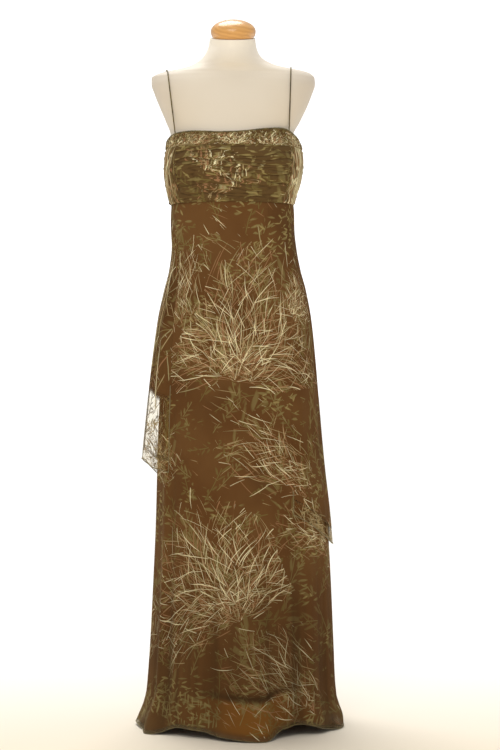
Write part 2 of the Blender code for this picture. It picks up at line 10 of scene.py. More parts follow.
import bpy
import numpy as np
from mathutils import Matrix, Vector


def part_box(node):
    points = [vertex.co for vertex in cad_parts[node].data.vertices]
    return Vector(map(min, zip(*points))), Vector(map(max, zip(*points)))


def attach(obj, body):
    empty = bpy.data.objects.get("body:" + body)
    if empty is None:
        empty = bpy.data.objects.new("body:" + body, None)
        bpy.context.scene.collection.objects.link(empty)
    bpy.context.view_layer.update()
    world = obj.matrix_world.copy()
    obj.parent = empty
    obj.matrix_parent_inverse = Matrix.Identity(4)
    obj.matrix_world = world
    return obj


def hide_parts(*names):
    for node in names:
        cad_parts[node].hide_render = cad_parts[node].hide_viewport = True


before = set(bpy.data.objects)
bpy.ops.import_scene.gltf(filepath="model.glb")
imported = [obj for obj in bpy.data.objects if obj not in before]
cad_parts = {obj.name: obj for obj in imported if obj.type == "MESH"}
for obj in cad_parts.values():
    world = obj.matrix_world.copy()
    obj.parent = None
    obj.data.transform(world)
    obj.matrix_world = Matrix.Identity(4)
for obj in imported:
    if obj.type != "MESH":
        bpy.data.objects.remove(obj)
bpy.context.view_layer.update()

bl_info = {
    "name": "Evening gown on a dress form",
    "version": (1, 0, 0),
    "blender": (4, 5, 0),
    "location": "View3D > Sidebar > Gown",
    "description": "Builds a printed chiffon evening gown, its dress form and a plain stage",
    "category": "Add Mesh",
}

# ---------------------------------------------------------------- sizes shared with the solids
# Heights of the seams, read from the solids.
WAIST = (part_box("bodice_front")[0].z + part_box("skirt_front")[1].z) / 2
BODICE_TOP = (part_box("bodice_front")[1].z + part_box("top_band_front")[0].z) / 2
FORM_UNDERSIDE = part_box("form_torso")[0].z
# Gap at a seam, how far one layer laps over the next, and how far each stands out.
SEAM_GAP, LAP = 0.0003, 0.0012
BAND_PROUD, BODICE_PROUD = 0.0014, 0.0008
RUCHE_PROUD = BODICE_PROUD * 1.6
# All the layers of the bodice together, and its centre seams' distance from the middle.
CLOTH_STACK = 0.0042
CENTRE_SEAM = 0.130
# A quarter turn, and the halves that most layers come in, with their first and last turns.
SIDE = np.pi / 2
HALVES = (("front", -SIDE, SIDE), ("back", SIDE, 3 * SIDE))
BUST_HEIGHT, BUST_TALL, BUST_RISE = 1.275, 0.048, 0.009
BUST_TURN, BUST_SPREAD = np.radians(31), np.radians(24)
# The lining: its distance inside the skirt, how much more at the hem, the height it parts from,
# and how much shorter it is.
LINING_BEHIND, LINING_INSET = 0.0023, 0.021
LINING_PARTS, LINING_HEM = 1.020, 0.016
# The hem: its gap to the floor, the height its waves die away at, and where it breaks outwards.
HEM_CLEAR, HEM_WAVES_FROM, BREAK_HEIGHT = 0.0012, 0.200, 0.085
# The overskirt: its least distance from the skirt, the power its fall grows with, and where its
# print ends across the cloth.
OVERSKIRT_STAND, OVERSKIRT_FALL, OVERSKIRT_PRINT_END = 0.0022, 1.25, 1.15
# Turn of the overskirt's outline, in degrees, and the shares of its length from the waist at
# which its free part starts and at which a band lies above its corner.
FREE_OUTLINE, FREE_FROM, FREE_BAND = -87, 0.71, 0.952
# The turned cap, from its seat on the tipped neck.
NECK_TILT, NECK_TILT_FROM = np.radians(15), 1.525
CAP_RADIUS, CAP_HEIGHT = 0.0515, 0.0425
CAP_WIDEST, CAP_FOOT = 0.0155, 0.0435
SEAT_GAP = 0.0004
# The chiffon's thread pitch, the radii of its rolled edges, and the stitches: from one to the
# next, the length of each and its radius.
THREAD_PITCH, HEM_ROLL, OVERSKIRT_ROLL = 0.0007, 0.0009, 0.0011
STITCH_PITCH, STITCH_LENGTH, STITCH_RADIUS = 0.0046, 0.0028, 0.00018

Section = namedtuple("Section", "height left right front back square")
Fold = namedtuple("Fold", "angle width depth top")
HemWave = namedtuple("HemWave", "angle rise reach")
PanelHem = namedtuple("PanelHem", "angle height stand_off")
PanelEdge = namedtuple("PanelEdge", "height left right")
BandEdge = namedtuple("BandEdge", "angle height")
Lobe = namedtuple("Lobe", "angle width top depth glow")
Clump = namedtuple("Clump", "across up reach lean spread stroke share")
Blades = namedtuple("Blades", "count parts width slant colour")
Strewn = namedtuple("Strewn", "wide tall tilt swing reach width share kind colour seed patch")
Twig = namedtuple("Twig", "wide tall tilt pitch leaf width angle reach share colour seed")

# Half-widths and depths of the outside of the cloth, from the stand's axis.
BODICE_SECTIONS = (
    Section(1.350, 0.1475, 0.1410, 0.1105, 0.1045, 2.3),
    Section(1.318, 0.1520, 0.1550, 0.1200, 0.1070, 2.3),
    Section(1.290, 0.1560, 0.1580, 0.1250, 0.1070, 2.3),
    Section(1.265, 0.1570, 0.1560, 0.1260, 0.1060, 2.3),
    Section(1.240, 0.1540, 0.1520, 0.1230, 0.1040, 2.3),
    Section(1.210, 0.1480, 0.1425, 0.1185, 0.1010, 2.3),
    Section(1.190, 0.1425, 0.1380, 0.1155, 0.0985, 2.3),
)
SKIRT_SECTIONS = (
    Section(1.190, 0.1415, 0.1370, 0.115, 0.098, 2.3),
    Section(1.134, 0.1390, 0.1375, 0.112, 0.096, 2.3),
    Section(1.088, 0.1350, 0.1420, 0.112, 0.100, 2.2),
    Section(1.042, 0.1380, 0.1500, 0.116, 0.112, 2.2),
    Section(0.995, 0.1470, 0.1620, 0.121, 0.126, 2.2),
    Section(0.926, 0.1580, 0.1740, 0.127, 0.140, 2.2),
    Section(0.834, 0.1650, 0.1830, 0.133, 0.150, 2.2),
    Section(0.742, 0.1690, 0.1900, 0.138, 0.158, 2.2),
    Section(0.604, 0.1730, 0.2010, 0.144, 0.166, 2.2),
    Section(0.466, 0.1750, 0.2145, 0.150, 0.173, 2.2),
    Section(0.328, 0.1800, 0.2220, 0.156, 0.180, 2.2),
    Section(0.190, 0.1860, 0.2275, 0.161, 0.187, 2.2),
    Section(0.098, 0.1920, 0.2310, 0.164, 0.192, 2.2),
    Section(0.052, 0.1970, 0.2370, 0.173, 0.199, 2.2),
    Section(0.000, 0.2120, 0.2470, 0.204, 0.214, 2.2),
)
SHOULDER_SECTIONS = (
    Section(1.572, 0.0540, 0.0505, 0.064, 0.040, 2.0),
    Section(1.556, 0.0565, 0.0525, 0.065, 0.046, 2.0),
    Section(1.540, 0.0630, 0.0580, 0.067, 0.054, 2.0),
    Section(1.527, 0.0725, 0.0680, 0.069, 0.061, 1.9),
    Section(1.516, 0.0870, 0.0870, 0.070, 0.066, 1.8),
    Section(1.508, 0.1050, 0.1120, 0.070, 0.069, 1.7),
    Section(1.502, 0.1270, 0.1420, 0.069, 0.069, 1.7),
    Section(1.497, 0.1530, 0.1670, 0.068, 0.070, 1.8),
    Section(1.491, 0.1750, 0.1800, 0.068, 0.072, 2.0),
    Section(1.482, 0.1880, 0.1870, 0.071, 0.076, 2.2),
    Section(1.468, 0.1880, 0.1880, 0.077, 0.082, 2.4),
    Section(1.445, 0.1810, 0.1810, 0.085, 0.090, 2.5),
    Section(1.415, 0.1690, 0.1690, 0.094, 0.097, 2.5),
    Section(1.382, 0.1550, 0.1530, 0.101, 0.100, 2.4),
)
HIP_SECTIONS = (
    Section(1.190, 0.1355, 0.1305, 0.108, 0.091, 2.3),
    Section(1.134, 0.1300, 0.1285, 0.104, 0.087, 2.3),
    Section(1.088, 0.1260, 0.1290, 0.102, 0.089, 2.2),
    Section(1.030, 0.1290, 0.1340, 0.106, 0.101, 2.2),
    Section(0.960, 0.1410, 0.1440, 0.111, 0.116, 2.2),
    Section(0.880, 0.1470, 0.1500, 0.113, 0.120, 2.2),
    Section(0.800, 0.1460, 0.1490, 0.110, 0.114, 2.2),
    Section(0.780, 0.1410, 0.1440, 0.105, 0.109, 2.2),
)

# Runs of rows down the form: the first height, the last and how many.
FORM_RUNS = (
    (SHOULDER_SECTIONS[0].height, 1.520, 30),
    (1.518, 1.440, 60),
    (1.435, 1.000, 70),
    (0.990, FORM_UNDERSIDE, 24),
)

# The band's top edge: highest where the straps join it, lowest under the arms.
BAND_EDGE = (
    BandEdge(-92, 1.3335),
    BandEdge(-77, 1.3365),
    BandEdge(-64, 1.3440),
    BandEdge(-50, 1.3473),
    BandEdge(-38, 1.3478),
    BandEdge(-20, 1.3455),
    BandEdge(-8, 1.3438),
    BandEdge(2, 1.3447),
    BandEdge(12, 1.3475),
    BandEdge(25, 1.3520),
    BandEdge(38, 1.3550),
    BandEdge(49, 1.3562),
    BandEdge(61, 1.3528),
    BandEdge(73, 1.3453),
    BandEdge(87, 1.3370),
    BandEdge(120, 1.3340),
    BandEdge(180, 1.3350),
    BandEdge(240, 1.3335),
)

# Upright folds of the skirt. Each is deepest at the hem and dies away at its top; a trough's
# depth is below zero. Angles run from the middle of the front, to the right, in degrees.
SKIRT_FOLDS = (
    Fold(-88, 9, 0.005, 0.95),
    Fold(-70, 8, -0.005, 0.90),
    Fold(-58, 6, 0.006, 1.02),
    Fold(-50, 6, -0.006, 1.02),
    Fold(-30, 10, 0.004, 0.48),
    Fold(-11, 8, -0.004, 0.40),
    Fold(8, 10, 0.005, 0.50),
    Fold(21, 6, -0.005, 0.44),
    Fold(36, 6, -0.008, 0.62),
    Fold(47, 7, 0.005, 0.60),
    Fold(63, 8, -0.005, 0.52),
    Fold(80, 10, 0.005, 0.70),
    Fold(101, 8, -0.008, 0.85),
    Fold(117, 9, 0.009, 0.92),
    Fold(134, 8, -0.009, 0.80),
    Fold(152, 9, 0.010, 0.95),
    Fold(170, 8, -0.009, 0.88),
    Fold(189, 9, 0.010, 0.97),
    Fold(208, 8, -0.010, 0.86),
    Fold(226, 9, 0.009, 0.93),
    Fold(244, 8, -0.008, 0.78),
    Fold(258, 7, 0.006, 0.84),
)
# The hem's rise above the floor and its reach outwards, all round.
HEM_WAVES = (
    HemWave(-88, 0.008, 0.008),
    HemWave(-56, 0.000, 0.010),
    HemWave(-36, 0.018, -0.018),
    HemWave(-21, 0.016, -0.014),
    HemWave(-5, 0.007, 0.005),
    HemWave(14, 0.000, 0.014),
    HemWave(26, 0.019, -0.004),
    HemWave(38, 0.024, -0.008),
    HemWave(57, 0.008, -0.001),
    HemWave(75, 0.001, 0.004),
    HemWave(104, 0.018, -0.006),
    HemWave(128, 0.001, 0.006),
    HemWave(150, 0.020, -0.006),
    HemWave(171, 0.002, 0.007),
    HemWave(195, 0.022, -0.006),
    HemWave(218, 0.001, 0.006),
    HemWave(245, 0.018, -0.005),
)
# Where the cloth breaks over the floor: it bulges by depth below a crease at the height top.
# glow is how much of the satin under it shows, with a painted highlight where the bulge faces up.
HEM_LOBES = (
    Lobe(-62, 13, 0.088, 0.006, 0.15),
    Lobe(-27, 10, 0.062, 0.004, 0.10),
    Lobe(10, 21, 0.078, 0.011, 1.00),
    Lobe(45, 12, 0.052, 0.005, 0.10),
    Lobe(74, 12, 0.060, 0.006, 0.10),
    Lobe(127, 17, 0.070, 0.009, 0.60),
    Lobe(171, 15, 0.082, 0.010, 0.80),
    Lobe(217, 18, 0.066, 0.009, 0.50),
    Lobe(252, 12, 0.058, 0.006, 0.30),
)
# Where the hem flares and hangs as a single layer, and half the width of that, in degrees.
FLARES, FLARE_WIDTH = (-68, 68, 128, 218), 13
# The overskirt's hem, from its left front edge round the back to its right front edge. Angles run
# to the left from the middle of the front. stand_off is its distance from the skirt there.
OVERSKIRT_HEM = (
    PanelHem(54, 0.580, 0.006),
    PanelHem(66, 0.592, 0.022),
    PanelHem(80, 0.610, 0.032),
    PanelHem(92, 0.606, 0.033),
    PanelHem(112, 0.570, 0.018),
    PanelHem(132, 0.520, 0.026),
    PanelHem(152, 0.505, 0.013),
    PanelHem(172, 0.470, 0.024),
    PanelHem(192, 0.462, 0.012),
    PanelHem(214, 0.440, 0.022),
    PanelHem(236, 0.432, 0.010),
    PanelHem(256, 0.418, 0.009),
    PanelHem(272, 0.414, 0.008),
    PanelHem(288, 0.432, 0.004),
    PanelHem(306, 0.462, 0.002),
    PanelHem(324, 0.492, 0.002),
)
# Where its two front edges run, in the same angles.
OVERSKIRT_EDGES = (
    PanelEdge(1.190, 84, 296),
    PanelEdge(1.050, 62, 306),
    PanelEdge(0.900, 56, 314),
    PanelEdge(0.400, 54, 324),
)

# ---------------------------------------------------------------- the print
# Where each piece's print starts across the cloth. The overskirt's goes on from skirt_front's at
# its right front edge; no other two share a stretch of it.
PRINT_AT = {
    "skirt_front": 0.0,
    "skirt_back": 8.0,
    "bodice_side_left": 1.8,
    "bodice_front": 2.1,
    "bodice_side_right": 2.4,
    "bodice_back": 2.8,
    "top_band_front": 4.0,
    "top_band_back": 5.2,
}
# Clumps of dry grass: the foot of each on the cloth, its reach, the way it leans from upright to
# the right, half its spread, in degrees, half the width of its strokes and the share of them kept.
CLUMPS = (
    Clump(0.005, 0.785, 0.305, 6, 88, 0.0009, 1.0),
    Clump(0.015, 0.255, 0.280, -26, 88, 0.0009, 1.0),
    Clump(0.205, 0.540, 0.240, -58, 24, 0.0008, 1.0),
    Clump(0.215, 0.045, 0.270, -52, 24, 0.0008, 1.0),
    Clump(-0.118, 0.890, 0.220, -10, 22, 0.0007, 0.9),
    Clump(0.130, 0.925, 0.130, 40, 46, 0.0007, 0.8),
    Clump(-0.330, 0.560, 0.230, 20, 60, 0.0008, 1.0),
    Clump(-0.300, 0.130, 0.190, -20, 60, 0.0008, 0.8),
    Clump(0.330, 0.300, 0.240, 24, 64, 0.0008, 1.0),
    Clump(7.980, 0.790, 0.300, -16, 86, 0.0009, 1.0),
    Clump(8.220, 0.520, 0.240, 56, 26, 0.0008, 1.0),
    Clump(7.840, 0.330, 0.280, 22, 84, 0.0009, 1.0),
    Clump(8.150, 0.200, 0.230, -20, 66, 0.0008, 1.0),
    Clump(7.760, 0.640, 0.200, -50, 30, 0.0008, 1.0),
    Clump(7.920, 0.030, 0.180, -38, 60, 0.0008, 0.8),
    Clump(1.760, -0.020, 0.180, 4, 60, 0.0024, 0.60),
    Clump(2.062, 0.058, 0.052, 30, 70, 0.0010, 0.13),
    Clump(2.104, 0.026, 0.060, -30, 80, 0.0010, 0.16),
    Clump(2.165, 0.026, 0.075, 88, 20, 0.0010, 0.22),
    Clump(1.985, -0.004, 0.060, -80, 24, 0.0010, 0.20),
    Clump(2.430, -0.050, 0.200, 0, 60, 0.0028, 0.85),
    Clump(2.770, 0.034, 0.050, 10, 84, 0.0009, 0.30),
    Clump(2.860, 0.009, 0.050, -30, 70, 0.0009, 0.30),
    Clump(3.720, -0.020, 0.120, 20, 90, 0.0019, 0.32),
    Clump(3.860, -0.030, 0.120, -25, 90, 0.0019, 0.32),
    Clump(4.010, -0.020, 0.120, 10, 90, 0.0019, 0.32),
    Clump(4.150, -0.030, 0.120, 30, 90, 0.0019, 0.32),
    Clump(4.300, -0.020, 0.120, -15, 90, 0.0019, 0.32),
    Clump(5.050, -0.020, 0.130, 0, 90, 0.0012, 0.40),
    Clump(5.350, -0.020, 0.130, 0, 90, 0.0012, 0.40),
    Clump(0.280, 0.400, 0.190, -61, 24, 0.0008, 0.8),
    Clump(0.500, 0.560, 0.250, 18, 84, 0.0009, 1.0),
    Clump(0.740, 0.800, 0.270, -14, 84, 0.0009, 1.0),
    Clump(0.900, 0.500, 0.230, 20, 76, 0.0009, 1.0),
    Clump(1.020, 0.690, 0.640, 9, 11, 0.0017, 1.0),
)
# Blades of a clump, in rings of cells: how many cells go round, how many strokes lie end to end
# along the reach, their width as a share of the clump's, the tangent of their most slant, and
# their colour. Later ones lie on top.
BLADES = (
    Blades(27, 3.9, 0.90, 0.80, "rust"),
    Blades(31, 3.3, 0.85, 0.70, "rust"),
    Blades(29, 4.5, 0.80, 1.00, "reed"),
    Blades(25, 3.5, 0.90, 0.90, "rust"),
    Blades(30, 4.8, 0.80, 1.10, "reed"),
    Blades(26, 3.7, 0.85, 0.80, "rust"),
    Blades(28, 4.3, 0.72, 1.00, "straw"),
    Blades(24, 3.4, 0.90, 1.20, "reed"),
    Blades(33, 4.1, 0.85, 0.70, "rust"),
    Blades(32, 5.1, 0.70, 1.00, "straw"),
    Blades(21, 3.6, 0.75, 0.90, "rust"),
    Blades(35, 5.3, 0.70, 0.90, "straw"),
    Blades(23, 4.0, 0.68, 1.20, "cream"),
    Blades(29, 4.6, 0.75, 1.20, "rust"),
    Blades(39, 4.0, 0.68, 0.90, "straw"),
    Blades(22, 4.2, 0.64, 1.30, "cream"),
    Blades(37, 4.7, 0.66, 0.80, "straw"),
    Blades(31, 3.7, 0.62, 1.10, "cream"),
    Blades(18, 3.1, 0.68, 1.00, "cream"),
    Blades(34, 4.4, 0.62, 0.90, "cream"),
)
# How far aside and up from a clump's foot each set of blades starts, in turn.
FEET = ((0.0, 0.0), (-0.11, 0.05), (0.12, 0.02), (0.03, 0.14))
# Strewn strokes, one to a cell of a tilted grid: the cell's length and height, its tilt and a
# stroke's swing about it in degrees, half its length and width, the share of cells filled, its
# kind (0 a straw, 1 a leaf, 2 a leaf by the hem), its colour, a seed, and the patches that hold it.
STREWN = (
    Strewn(0.038, 0.017, 8, 30, 0.0125, 0.0026, 0.70, 1, "olive", 5.0, 0.55),
    Strewn(0.032, 0.015, -24, 30, 0.0095, 0.0020, 0.70, 1, "lichen", 9.0, 0.59),
    Strewn(0.028, 0.014, 38, 34, 0.0075, 0.0017, 0.60, 1, "lichen", 14.0, 0.61),
    Strewn(0.046, 0.010, 79, 7, 0.0180, 0.0017, 0.50, 2, "lichen", 45.0, 0.63),
    Strewn(0.070, 0.017, -34, 14, 0.0210, 0.0007, 0.45, 0, "rust", 21.0, 0.56),
    Strewn(0.078, 0.019, -20, 12, 0.0250, 0.0006, 0.45, 0, "straw", 27.0, 0.59),
    Strewn(0.066, 0.018, -50, 14, 0.0220, 0.0006, 0.40, 0, "cream", 33.0, 0.60),
)
# Twigs, one to a cell of a tilted grid: the cell, its tilt in degrees, the leaves' pitch on the
# stem, their length and half width, the angle they leave it at in degrees, half the stem's
# length, the share of cells filled, their colour and a seed.
TWIGS = (
    Twig(0.210, 0.250, 24, 0.0400, 0.072, 0.0068, 27, 0.118, 0.95, "olive", 3.0),
    Twig(0.150, 0.180, -37, 0.0220, 0.040, 0.0038, 34, 0.080, 0.90, "moss", 11.0),
    Twig(0.120, 0.140, 61, 0.0120, 0.026, 0.0026, 44, 0.058, 0.85, "moss", 23.0),
    Twig(0.110, 0.130, 5, 0.0150, 0.030, 0.0032, 38, 0.055, 0.70, "olive", 37.0),
)


# ---------------------------------------------------------------- curves and noise
def smooth(at, places, values):
    """Cubic Hermite curve through (places, values), its slopes the harmonic mean of the two
    neighbouring chords and level where they turn, so it never overshoots."""
    places, values = np.asarray(places, float), np.asarray(values, float)
    if places[0] > places[-1]:
        places, values = places[::-1], values[::-1]
    step = np.diff(places)
    chord = np.diff(values) / step
    both = chord[:-1] * chord[1:]
    total = chord[:-1] + chord[1:]
    slope = np.empty_like(values)
    slope[1:-1] = np.where(both > 0, 2 * both / np.where(total == 0, 1, total), 0)
    slope[0], slope[-1] = chord[0], chord[-1]
    at = np.clip(at, places[0], places[-1])
    i = np.clip(np.searchsorted(places, at) - 1, 0, len(step) - 1)
    t = (at - places[i]) / step[i]
    rest = 1 - t
    return (
        values[i] * (1 + 2 * t) * rest**2
        + slope[i] * step[i] * t * rest**2
        + values[i + 1] * t**2 * (3 - 2 * t)
        - slope[i + 1] * step[i] * t**2 * rest
    )


def column(rows, name):
    """One column of a table, as a list."""
    return [getattr(row, name) for row in rows]


def around(turn, rows, name):
    """A column of a table whose first column is an angle all round, read at turn (radians)."""
    angles = np.array(column(rows, "angle"), float)
    values = np.array(column(rows, name), float)
    angles = np.concatenate([angles - 360, angles, angles + 360])
    return smooth(np.degrees(turn) % 360, angles, np.tile(values, 3))


def ease(t):
    """Smooth step: 3t^2 - 2t^3 of t held between 0 and 1."""
    t = np.clip(t, 0, 1)
    return t * t * (3 - 2 * t)


def bell(at, middle, width):
    """Gaussian bell: e to minus the square of the distance from the middle over the width."""
    return np.exp(-(((at - middle) / width) ** 2))


def off_angle(turn, angle):
    """Degrees from angle to turn (radians), from -180 to 180."""
    return (np.degrees(turn) - angle + 180) % 360 - 180


def drift(across, up, seed, period=64):
    """Smooth noise from about -1 to 1. Each corner of a lattice of side 1, which repeats across
    after period, slopes its own way, and the slopes are blended by a quintic."""
    slopes = np.random.default_rng(seed).uniform(0, 2 * np.pi, (period, 64))
    across, up = np.broadcast_arrays(np.asarray(across, float), np.asarray(up, float))
    i, j = np.floor(across).astype(int), np.floor(up).astype(int)
    x, y = across - i, up - j

    def corner(right, above):
        """The distance from a corner along the way that it slopes."""
        angle = slopes[(i + right) % period, (j + above) % 64]
        return np.cos(angle) * (x - right) + np.sin(angle) * (y - above)

    blend_x, blend_y = (t**3 * (t * (t * 6 - 15) + 10) for t in (x, y))
    low = corner(0, 0) * (1 - blend_x) + corner(1, 0) * blend_x
    high = corner(0, 1) * (1 - blend_x) + corner(1, 1) * blend_x
    return 1.5 * (low * (1 - blend_y) + high * blend_y)


# ---------------------------------------------------------------- surfaces
def section_at(rows, height):
    """A table's half-widths, depths and squareness, each a smooth curve of the height."""
    heights = column(rows, "height")
    return [smooth(height, heights, column(rows, name)) for name in Section._fields[1:]]


def ring(turn, left, right, front, back, square):
    """Point and outward direction of a superellipse with its own half-width or depth in each
    quarter: x goes with |sin|^(2/square) and y with |cos|^(2/square)."""
    s, c = np.sin(turn), np.cos(turn)
    half = np.where(s < 0, left, right)
    depth = np.where(c > 0, front, back)
    x = half * np.sign(s) * np.abs(s) ** (2 / square)
    y = -depth * np.sign(c) * np.abs(c) ** (2 / square)
    out_x = np.sign(s) * np.abs(s) ** (2 - 2 / square) / half
    out_y = -np.sign(c) * np.abs(c) ** (2 - 2 / square) / depth
    length = np.hypot(out_x, out_y)
    return x, y, out_x / length, out_y / length


def bust(turn, height):
    """Two soft rises, each a bell round its own angle and height."""
    turn = (turn + np.pi) % (2 * np.pi) - np.pi
    wide = sum(bell(turn, side * BUST_TURN, BUST_SPREAD) for side in (-1, 1))
    return BUST_RISE * bell(height, BUST_HEIGHT, BUST_TALL) * wide


def skirt_folds(turn, height):
    """Sum of the upright folds, each a bell across its angle that eases in below its top."""
    total = 0.0
    for fold in SKIRT_FOLDS:
        across = bell(off_angle(turn, fold.angle), 0, fold.width)
        total = total + fold.depth * across * ease((fold.top - height) / fold.top)
    return total


def hem_lobes(turn, height):
    """Bulges over the floor: each a bell across, a hump up to its top, and a crease above it."""
    total = 0.0
    for lobe in HEM_LOBES:
        across = bell(off_angle(turn, lobe.angle), 0, lobe.width)
        hump = bell(height, 0.42 * lobe.top, 0.33 * lobe.top)
        crease = bell(height, lobe.top, 0.009)
        total = total + across * (lobe.depth * hump - 0.35 * lobe.depth * crease)
    return total


def lobe_shade(turn, above_hem):
    """Shade in the crease above each bulge, from 0 to 1: the product of two bells."""
    total = 0.0
    for lobe in HEM_LOBES:
        across = bell(off_angle(turn, lobe.angle), 0, lobe.width)
        total = total + 0.8 * lobe.glow * across * bell(above_hem, lobe.top + 0.004, 0.008)
    return total


def soft_creases(turn, height):
    """Slight creases of hanging cloth: long upright ripples of two widths, which grow towards
    the hem, and small gathers that die away below the waist."""
    degrees = np.degrees(turn)
    long = drift(degrees / 9, height * 1.7, 5, 40) + 0.5 * drift(degrees / 4, height * 2.6, 6, 90)
    gathers = drift(degrees / 2.5, height * 9, 7, 144)
    down = ease((WAIST - height) / 0.5)
    near_waist = bell(height, WAIST - 0.012, 0.020) * ease((WAIST - height) / 0.006)
    return 0.0015 * long * down + 0.0007 * gathers * near_waist


def gown_surface(turn, height, out=0.0, folded=True):
    """Outside of the bodice above the waist and of the skirt below it, moved out by out."""
    turn, height = np.broadcast_arrays(turn, np.asarray(height, float))
    above = height >= WAIST - 1e-6
    upper = section_at(BODICE_SECTIONS, height)
    lower = section_at(SKIRT_SECTIONS, height)
    x, y, out_x, out_y = ring(turn, *(np.where(above, a, b) for a, b in zip(upper, lower)))
    kick = ease((BREAK_HEIGHT - height) / BREAK_HEIGHT) * around(turn, HEM_WAVES, "reach")
    pleats = np.where(above | (not folded), 0, skirt_folds(turn, height) + kick)
    out = out + bust(turn, height) + pleats
    return np.stack([x + out_x * out, y + out_y * out, height], axis=-1)


def hem_height(turn):
    """Height of the hem: its gap to the floor and the rise of its waves."""
    return HEM_CLEAR + around(turn, HEM_WAVES, "rise")


def band_top(turn):
    """Height of the band's top edge, a smooth curve all round."""
    return around(turn, BAND_EDGE, "height")


def arc_lengths(points):
    """Distance along each row of a grid from its first column."""
    steps = np.linalg.norm(np.diff(points, axis=1), axis=2)
    return np.concatenate([np.zeros((len(points), 1)), np.cumsum(steps, axis=1)], axis=1)


def centred_arcs(points, turns, middle):
    """Distance along each row from the column at the angle middle."""
    arcs = arc_lengths(points)
    at = np.clip(np.searchsorted(turns, middle), 1, len(turns) - 1)
    share = np.clip((middle - turns[at - 1]) / (turns[at] - turns[at - 1]), 0, 1)
    return arcs - (arcs[:, at - 1] + share * (arcs[:, at] - arcs[:, at - 1]))[:, None]


# ---------------------------------------------------------------- meshes
def grid_faces(rows, columns, closed=False):
    """Quads of a grid, rows first, that face out where rows run down and columns to the right."""
    index = np.arange(rows * columns).reshape(rows, columns)
    if closed:
        index = np.hstack([index, index[:, :1]])
    corners = [index[:-1, :-1], index[1:, :-1], index[1:, 1:], index[:-1, 1:]]
    return np.stack(corners, axis=-1).reshape(-1, 4)


def new_piece(name, vertices, faces, finish, uv=None, marks=None):
    """An object at the origin made from points and faces, with a cloth UV map in metres and any
    named value for each point."""
    mesh = bpy.data.meshes.new(name)
    mesh.from_pydata(np.asarray(vertices).reshape(-1, 3).tolist(), [], [list(f) for f in faces])
    if uv is not None:
        corners = np.empty(len(mesh.loops), int)
        mesh.loops.foreach_get("vertex_index", corners)
        layer = mesh.uv_layers.new(name="cloth")
        layer.uv.foreach_set("vector", uv.reshape(-1, 2)[corners].astype(np.float32).ravel())
    for key, values in (marks or {}).items():
        mark = mesh.attributes.new(key, "FLOAT", "POINT")
        mark.data.foreach_set("value", np.asarray(values, np.float32).ravel())
    mesh.materials.append(finish)
    mesh.shade_smooth()
    piece = bpy.data.objects.new(name, mesh)
    bpy.context.scene.collection.objects.link(piece)
    return piece


def cloth_piece(name, points, across, up, finish, marks=None):
    """A panel named after its node. The grid is its outside, Solidify gives it its wall inwards,
    and its print lies by the distances across and up."""
    uv = np.stack([across, up], axis=-1)
    piece = new_piece(name + "_cloth", points, grid_faces(*points.shape[:2]), finish, uv, marks)
    wall = piece.modifiers.new("wall", "SOLIDIFY")
    wall.thickness = bpy.context.scene.gown_sizes.cloth_wall
    wall.offset = -1
    return piece


def round_piece(name, points, finish, uv=None):
    """A closed body from a grid whose columns go all round: each end is closed by a fan to the
    middle of its row."""
    rows, columns = points.shape[:2]
    faces = grid_faces(rows, columns, closed=True).tolist()
    top, foot = rows * columns, rows * columns + 1
    last = (rows - 1) * columns
    for i in range(columns):
        j = (i + 1) % columns
        faces.append([top, i, j])
        faces.append([foot, last + j, last + i])
    ends = [points[0].mean(axis=0), points[-1].mean(axis=0)]
    return new_piece(name, np.vstack([points.reshape(-1, 3), ends]), faces, finish, uv)


def circles(along, reference, sides):
    """Circles of radius 1, each square to its own direction along and with its first point
    turned away from the reference direction."""
    along = along / np.linalg.norm(along, axis=1)[:, None]
    across = np.cross(along, reference)
    across /= np.linalg.norm(across, axis=1)[:, None]
    up = np.cross(across, along)
    angle = np.linspace(0, 2 * np.pi, sides, endpoint=False)[:, None]
    return across[:, None] * np.cos(angle) + up[:, None] * np.sin(angle)


def tube_points(path, radius, reference, sides=10):
    """Rings of a tube along a path, each square to it."""
    path = np.asarray(path)
    radius = np.broadcast_to(np.asarray(radius, float), (len(path),))[:, None, None]
    return path[:, None] + radius * circles(np.gradient(path, axis=0), reference, sides)


def tube_piece(name, path, radius, reference, finish, sides=10):
    """A closed tube along a path, from the rings of tube_points()."""
    return round_piece(name, tube_points(path, radius, reference, sides), finish)


def stitches_piece(name, seams, finish):
    """Short threads along seams, all one mesh: each is a six-sided spindle of four rings."""
    vertices, faces = [], []
    for path in seams:
        run = arc_lengths(path[None])[0]
        middles = np.arange(STITCH_PITCH / 2, run[-1] - STITCH_PITCH / 2, STITCH_PITCH)
        starts, ends = (
            np.stack([np.interp(middles + end, run, path[:, k]) for k in range(3)], axis=-1)
            for end in (-STITCH_LENGTH / 2, STITCH_LENGTH / 2)
        )
        circle = circles(ends - starts, (0.01, 0.02, 1.0), 6)
        for share, size in ((0.0, 0.45), (0.2, 1.0), (0.8, 1.0), (1.0, 0.45)):
            centre = starts + (ends - starts) * share
            vertices.append((centre[:, None] + circle * STITCH_RADIUS * size).reshape(-1, 3))
        count = len(middles)
        base = sum(len(v) for v in vertices[:-4])
        stitch = np.arange(count)[:, None] * 6 + base
        for ring_number in range(3):
            low = stitch + ring_number * count * 6
            high = low + count * 6
            this, after = np.arange(6), (np.arange(6) + 1) % 6
            quads = [low + this, low + after, high + after, high + this]
            faces += np.stack(quads, axis=-1).reshape(-1, 4).tolist()
        faces += (stitch + np.arange(5, -1, -1)).tolist()
        faces += (stitch + 3 * count * 6 + np.arange(6)).tolist()
    return new_piece(name, np.vstack(vertices), faces, finish)


